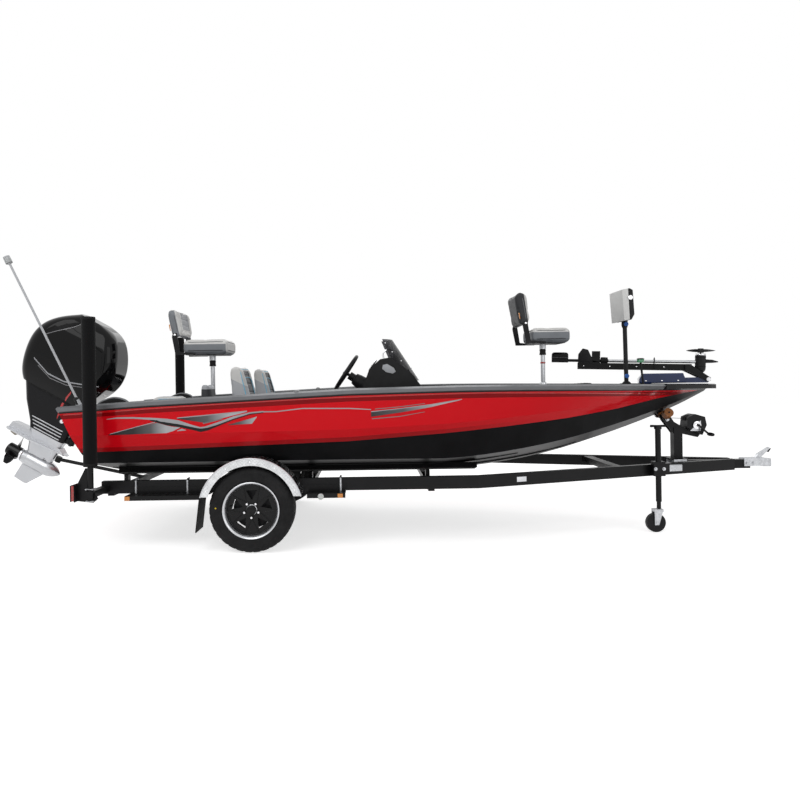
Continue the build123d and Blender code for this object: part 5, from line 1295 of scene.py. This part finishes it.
lathe("sonar_post_skin", [(0.0186, 0.055), (0.0186, 0.55)], st(sx, sy, sz), (-0.0156, 0, 1), M_MATT, ROOT, steps=32,
      caps=False)
lathe("sonar_foot", [(0.040, 0.0), (0.040, 0.045), (0.030, 0.058), (0.020, 0.066)], st(sx, sy, sz), (0, 0, 1),
      M_DARK, ROOT, steps=40)
lathe("bow_lens", [(0.0305, -0.002), (0.0305, 0.024), (0.026, 0.032), (0.0, 0.0335)], st(4835, -330, 1432),
      (0, 0, 1), M_GREEN, ROOT, steps=36)
lathe("bow_lens_cap", [(0.031, 0.0), (0.031, 0.008), (0.020, 0.012), (0.0, 0.013)], st(4835, -330, 1456), (0, 0, 1),
      M_MATT, ROOT, steps=36)

A = BOW_MOTOR
lathe("motor_collar", [(0.0145, 0.0), (0.034, 0.004), (0.036, 0.02), (0.034, 0.066), (0.0145, 0.07)],
      (-0.945, 0, 0.160), (1, 0, 0), M_DARK, "bow_motor", A, steps=36, caps=False)
lathe("motor_shaft_skin", [(0.0146, 0.0), (0.0146, 0.80)], (-0.87, 0, 0.160), (1, 0, 0), M_STEELPOLE, "bow_motor",
      A, steps=32, caps=False)
for name, half, mat, bevel, outline in (
    ("motor_head_seam", 0.0565, M_GREYFILM, 0.001,
     [(-1.403, 0.186), (-1.403, 0.190), (-1.242, 0.190), (-1.242, 0.186)]),
    ("motor_head_cap", 0.056, M_COWL, 0.010,
     [(-1.402, 0.192), (-1.398, 0.222), (-1.374, 0.238), (-1.272, 0.238), (-1.248, 0.222), (-1.243, 0.192)]),
    ("motor_arm_cover", 0.047, M_MATT, 0.010,
     [(-1.152, 0.142), (-1.151, 0.222), (-1.112, 0.279), (-1.062, 0.266), (-1.021, 0.182), (-1.021, 0.142)]),
    ("motor_block", 0.042, M_COWL, 0.008,
     [(-1.019, 0.142), (-1.019, 0.252), (-0.952, 0.252), (-0.952, 0.142)]),
):
    slab(name, outline, -half, half, mat, "bow_motor", A, bevel=bevel)
for k, q in enumerate((0.112, 0.200, 0.222)):
    lathe(f"pod_band_{k}", [(0.0462, 0.0), (0.0475, 0.002), (0.0475, 0.007), (0.0462, 0.009)], (-0.060, 0, q),
          (0, 0, 1), M_CHROME if k == 2 else M_DARK, "bow_motor", A, steps=48, caps=False)
slab("pod_fin", [(-0.022, 0.150), (-0.022, 0.186), (0.040, 0.182), (0.088, 0.167), (0.088, 0.158), (0.04, 0.152)],
     -0.0052, 0.0052, M_MATT, "bow_motor", A, bevel=0.002)
tube("bed_strap", [(-0.46, -0.046, 0.08), (-0.46, -0.046, 0.142), (-0.46, -0.03, 0.178), (-0.46, 0, 0.1835),
                   (-0.46, 0.03, 0.178), (-0.46, 0.046, 0.142), (-0.46, 0.046, 0.08)], 0.018, M_STRAP, "bow_motor",
                   A, sides=8, flat=0.12)
for side, tag in SIDES:
    for k, p in enumerate((-1.10, -0.86, -0.62, -0.38)):
        bolt(f"bed_rivet_{tag}{k}", (p, side * 0.040, 0.106), (0, side, 0), 0.0065, 0.005, M_CHROME,
             "bow_motor_bed", A, dome=True)
    bolt(f"bed_pivot_{tag}", (0, side * 0.074, 0), (0, side, 0), 0.012, 0.008, M_CHROME, "bow_motor_bed", A)
prop = screw("bow_blades", (-0.060, 0, 0.266), (0, 0, 1), 0.026, 0.122, 0.060, 0.2, 2, M_MATT,
             "bow_motor_propeller", A, start=1.2)
nose = lathe("bow_prop_hub", [(0.0264, -0.020), (0.0264, 0.012), (0.023, 0.020), (0.0075, 0.0205)],
             (-0.060, 0, 0.266), (0, 0, 1), M_MATT, "bow_motor_propeller", A, steps=40, caps=False)
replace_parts(join("bow_prop_skin", [prop, nose]), "trolling_prop")
wrap = []
for x, w, lo, hi in ((-0.598, 0.060, 1.244, 1.268), (-0.590, 0.074, 1.2415, 1.300),
                     (-0.560, 0.0785, 1.2412, 1.3315), (-0.40, 0.0795, 1.2412, 1.3325),
                     (-0.216, 0.0785, 1.2412, 1.3315), (-0.200, 0.074, 1.2415, 1.300),
                     (-0.196, 0.060, 1.244, 1.262)):
    loop = []
    for q in range(24):
        t = 2 * pi * q / 24
        c, s = cos(t), sin(t)
        y = w * (abs(c) ** 0.35) * (1 if c > 0 else -1)
        z = (lo + hi) / 2 + (hi - lo) / 2 * (abs(s) ** 0.35) * (1 if s > 0 else -1)
        loop.append(Vector((x, y, z)))
    wrap.append(loop)
loft("base_wrap", wrap, M_NAVY, ROOT, BOW_BASE, crease=50)
for side, tag in SIDES:
    for k, p in enumerate((-0.54, -0.40, -0.26)):
        bolt(f"base_bolt_{tag}{k}", (p, side * 0.079, 1.262), (0, side, 0), 0.008, 0.004, M_CHROME, ROOT, BOW_BASE,
             dome=True)
slab("pedal_pad", on_console([(4136, 1240), (4388, 1250), (4388, 1255), (4136, 1245)]), -0.362, -0.238, M_DARK,
     ROOT, bevel=0.002)
for k in range(8):
    x = 4160 + 28 * k
    block(f"pedal_ridge_{k}", (STERN + x / 1000, -0.355, 1.242 + 0.00004 * (x - 4136)),
          (STERN + (x + 8) / 1000, -0.245, 1.2475 + 0.00004 * (x - 4136)), M_DARK, ROOT, bevel=0.001)
for side, tag in SIDES:
    hit = surface_of(["gunwale_rail", "hull"]).ray_cast(LEVEL @ st(1880, side * 1045, 1500), Vector((0, 0, -1)))[0]
    lathe(f"cleat_dome_{tag}", [(0.026, -0.004), (0.026, 0.004), (0.022, 0.014), (0.012, 0.022), (0.0, 0.024)], hit,
          (0, 0, 1), M_GREYFILM, ROOT, WORLD, steps=36)

# ---------------------------------------------------------------- stern
foot = st(150, -935, 1130)
tip = st(-415, -935, 2325)
run = (tip - foot).normalized()
reach = (tip - foot).length
globe = [(0.0185, reach * 0.955), (0.027, reach * 0.958), (0.0268, reach * 0.966), (0.0268, reach * 0.992),
         (0.023, reach * 0.9985), (0.010, reach * 1.0002), (0.0, reach * 1.0005)]
lathe("stern_globe", globe, foot, run, M_GLOBE, ROOT, steps=40)
lathe("stern_collar", [(0.0095, 0.014), (0.0188, 0.016), (0.0188, 0.072), (0.013, 0.082), (0.0095, 0.084)], foot,
      run, M_MATT, ROOT, steps=32, caps=False)
for side, tag in SIDES:
    hx, hz = 320, 1098
    path = [st(hx - 116, side * 700, hz + 4), st(hx - 92, side * 700, hz + 54), st(hx, side * 700, hz + 66),
            st(hx + 62, side * 700, hz + 62), st(hx + 114, side * 700, hz + 4)]
    for edge in (-1, 1):
        tube(f"handle_trim_{tag}{'ab'[edge > 0]}", [p + Vector((0, edge * 0.0142, 0)) for p in path], 0.0028,
             M_CHROME, ROOT, curved=True, sides=8)

# ---------------------------------------------------------------- trailer fittings
TONGUE_RUN, TONGUE_IN, TONGUE_START = 2500, 820, 3300   # the beams close in by 820 over 2500
FENDER_R, RIVET_R, LIP_FROM = 398, 372, 15.5
U_REACH, U_SPREAD, SPRING_HALF = 32, 26, 318
for side, tag in SIDES:
    face = side * BEAM_Y
    for k, px in enumerate((136.5, 188, 341)):
        s = sta(px, -BEAM_Y)
        tube(f"u_bolt_{tag}{k}a", [st(s, face + side * 6, 425), st(s, face + side * 6, 535),
                                   st(s, face - side * 8, 541), st(s, side * 835, 541)], 0.008, M_STEEL, ROOT,
                                   sides=10)
        bolt(f"u_nut_{tag}{k}a", st(s, face + side * 6, 424), (0, 0, -1), 0.009, 0.010, M_STEEL, ROOT)
        box(f"u_plate_{tag}{k}", (s - 34, s + 34), (face, face + side * 10), (424.5, 431.5), M_STEEL, 0.001)
    for k in range(9):
        s = 560 + k * 62
        if s < 1085:
            box(f"step_slot_{tag}{k}", (s, s + 26), (side * 905, side * 985), (431.8, 433.5), M_DARK, 0.0005)
    s = sta(321, -1010)
    lathe(f"step_lamp_{tag}", [(0.024, 0.0), (0.024, 0.004), (0.018, 0.009), (0.0, 0.010)], st(s, side * 1016, 408),
          (0, side, 0), M_LAMPWHITE, ROOT, steps=32)
    s = sta(518.5, -640)
    d = Vector((TONGUE_RUN, -side * TONGUE_IN, 0)).normalized()
    n = Vector((TONGUE_IN / TONGUE_RUN, side, 0)).normalized()
    c = st(s, side * (BEAM_Y - (TONGUE_IN / TONGUE_RUN) * (s - TONGUE_START) + 1), 482)
    loops = []
    for off in (0.0, 0.0015):
        loops.append([c + d * a * 0.044 + Vector((0, 0, b * 0.020)) + n * off for a,
                      b in ((-1, -1), (1, -1), (1, 1), (-1, 1))])
    loft(f"data_plate_{tag}", loops, M_ALU, ROOT, bevel=0.0005)
    lip = []
    for k in range(41):
        t = radians(LIP_FROM + (180 - 2 * LIP_FROM) * k / 40)
        lip.append(st(AXLE_STATION + FENDER_R * cos(t), side * FENDER_Y, HUB_HEIGHT + FENDER_R * sin(t)))
    tube("fender_lip_" + tag, lip, 0.0055, M_RIM, ROOT, sides=10)
    for k, t in enumerate((25, 60, 90, 120, 155)):
        spot = st(AXLE_STATION + RIVET_R * cos(radians(t)), side * (FENDER_Y + 1.5),
                  HUB_HEIGHT + RIVET_R * sin(radians(t)))
        bolt(f"fender_rivet_{tag}{k}", spot, (0, side, 0), 0.007, 0.004, M_CHROME, ROOT, dome=True)
    for k, x in enumerate((AXLE_STATION - SPRING_HALF, AXLE_STATION + SPRING_HALF)):
        bolt(f"spring_eye_{tag}{k}", st(x, side * 884, 415), (0, side, 0), 0.013, 0.014, M_STEEL, ROOT)
    for e in (-1, 1):
        for f in (-1, 1):
            mark = tag + "ab"[e > 0] + "cd"[f > 0]
            x, y = AXLE_STATION + e * U_REACH, side * SPRING_Y + f * U_SPREAD
            tube("axle_u_" + mark, [st(x, y, 300), st(x, y, 392)], 0.0055, M_STEEL, ROOT, sides=10)
            bolt("axle_nut_" + mark, st(x, y, 302), (0, 0, -1), 0.009, 0.010, M_STEEL, ROOT)
    box(f"axle_plate_{tag}", (AXLE_STATION - 45, AXLE_STATION + 45), (side * SPRING_Y - 34, side * SPRING_Y + 34),
        (292.5, 300.5), M_STEEL, 0.002)
    for z in (695, 1795):
        lathe(f"post_cap_{tag}{z}", [(0.0502, 0.0), (0.0512, 0.003), (0.0512, 0.014), (0.0502, 0.017)],
              st(330, side * POST_Y, z), (0, 0, 1), M_DARK, ROOT, steps=40, caps=False)
    for z in (430, 520):
        inner, outer = side * (POST_Y - 30), side * (POST_Y + 26)
        tube(f"post_u_{tag}{z}", [st(304, inner, z), st(304, outer, z), st(356, outer, z), st(356, inner, z)],
             0.0055, M_STEEL, ROOT, sides=10)
    box(f"lamp_bezel_{tag}", (195, 203), (side * 1165 - 66, side * 1165 + 66), (432, 554), M_MATT, 0.003)

# Winch, strap hook, winch stand, coupler and jack fittings
slab("winch_plate", on_console([(sta(691, -80), hgt(431, -80, 5400)), (sta(702, -80), hgt(431, -80, 5450)),
                                (sta(702, -80), hgt(420.5, -80, 5450))]), -0.0765, -0.0725, M_CAST, ROOT,
                                bevel=0.001)
lathe("winch_gear", [(0.036, 0.0), (0.036, 0.008), (0.022, 0.012), (0.013, 0.020), (0.013, 0.030)],
      st(5450, -78, 850), (0, -1, 0), M_CHROME, ROOT, steps=40)
lathe("winch_grip", [(0.010, 0.0), (0.0155, 0.004), (0.017, 0.03), (0.0155, 0.07), (0.011, 0.078)],
      st(5540, -110, 770), (0, -1, 0), M_DARK, ROOT, steps=28)
lathe("strap_drum", [(0.034, -0.03), (0.034, 0.03)], st(5400, 0, 905), (0, 1, 0), M_STRAP, ROOT, steps=36)
tube("strap_hook", [st(5124, 0, 921), st(5112, 4, 926), st(5098, 6, 938), st(5104, 6, 954), st(5122, 4, 956)],
     0.0055, M_CHROME, ROOT, curved=True, sides=10)
for side, tag in SIDES:
    bolt(f"stand_bolt_{tag}", st(5200, side * 31.5, 905), (0, side, 0), 0.012, 0.012, M_STEEL, ROOT)
    box(f"stand_clamp_{tag}", (5235, 5355), (side * 72, side * 78), (460, 536), M_STEEL, 0.002)
    for k, s in enumerate((5250, 5340)):
        bolt(f"stand_u_{tag}{k}", st(s, side * 78, 500), (0, side, 0), 0.010, 0.011, M_STEEL, ROOT)
    for k, s in enumerate((5925, 5985)):
        bolt(f"coupler_bolt_{tag}{k}", st(s, side * 48, 490), (0, side, 0), 0.011, 0.012, M_STEEL, ROOT)
tube("coupler_grip", [st(6140, 0, 590), st(6162, 0, 622)], 0.014, M_DARK, ROOT, sides=20)
tube("jack_grip", [st(4886, -395, 872), st(4950, -395, 872), st(5020, -395, 872)], [0.011, 0.0085, 0.011], M_DARK,
     ROOT, sides=16)
lathe("jack_cap", [(0.031, 0.0), (0.031, 0.02), (0.024, 0.030), (0.0, 0.031)], st(4950, -395, 845), (0, 0, 1),
      M_MATT, ROOT, steps=32)
for side in (-1, 1):
    bolt("jack_bolt_" + "ab"[side > 0], st(4950 + side * 36, -425.5, 500), (0, -1, 0), 0.010, 0.010, M_STEEL, ROOT)

# ---------------------------------------------------------------- floor, world and lights
def shine_where_seen(tree, rays, gain, base, socket):
    """Strength of a socket: a base, and a gain on top where one of the kinds of ray meets it."""
    path = tree.nodes.new("ShaderNodeLightPath")
    seen = path.outputs[f"Is {rays[0]} Ray"]
    for kind in rays[1:]:
        either = tree.nodes.new("ShaderNodeMath")
        either.operation = "MAXIMUM"
        tree.links.new(seen, either.inputs[0])
        tree.links.new(path.outputs[f"Is {kind} Ray"], either.inputs[1])
        seen = either.outputs[0]
    level = tree.nodes.new("ShaderNodeMath")
    level.operation = "MULTIPLY_ADD"
    level.inputs[1].default_value = gain
    level.inputs[2].default_value = base
    tree.links.new(seen, level.inputs[0])
    tree.links.new(level.outputs[0], socket)


world = bpy.data.worlds.new("world")
bpy.context.scene.world = world
world.use_nodes = True
background = world.node_tree.nodes["Background"].inputs
background["Color"].default_value = (1, 1, 1, 1)
shine_where_seen(world.node_tree, ("Camera", "Glossy", "Transmission"), 0.55, 0.45, background["Strength"])

floor_mat = bpy.data.materials.new("floor")
floor_mat.use_nodes = True
paper = floor_mat.node_tree.nodes["Principled BSDF"].inputs
for key, value in (("Base Color", (0.82, 0.82, 0.82, 1)), ("Roughness", 0.9), ("Specular IOR Level", 0.1),
                   ("Emission Color", (1, 1, 1, 1))):
    paper[key].default_value = value
shine_where_seen(floor_mat.node_tree, ("Camera", "Glossy"), 0.66, 0.0, paper["Emission Strength"])
bpy.ops.mesh.primitive_plane_add(size=60, location=(0, 0, -0.0005))
floor = bpy.context.object
floor.name = "floor"
floor.data.materials.append(floor_mat)

for name, place, size, power, target in (
    ("key", (-3.5, -5.5, 6.0), 5.0, 190, (0, 0, 0.8)),
    ("fill", (5.0, -6.0, 3.5), 5.0, 80, (0.5, 0, 0.8)),
    ("rim", (0.0, 6.0, 6.0), 6.0, 120, (0, 0, 0.8)),
):
    data = bpy.data.lights.new(name, "AREA")
    data.energy = power
    data.size = size
    lamp = bpy.data.objects.new(name, data)
    bpy.context.collection.objects.link(lamp)
    lamp.location = place
    lamp.rotation_euler = (Vector(target) - Vector(place)).to_track_quat("-Z", "Y").to_euler()

bpy.context.scene.view_settings.view_transform = "Standard"
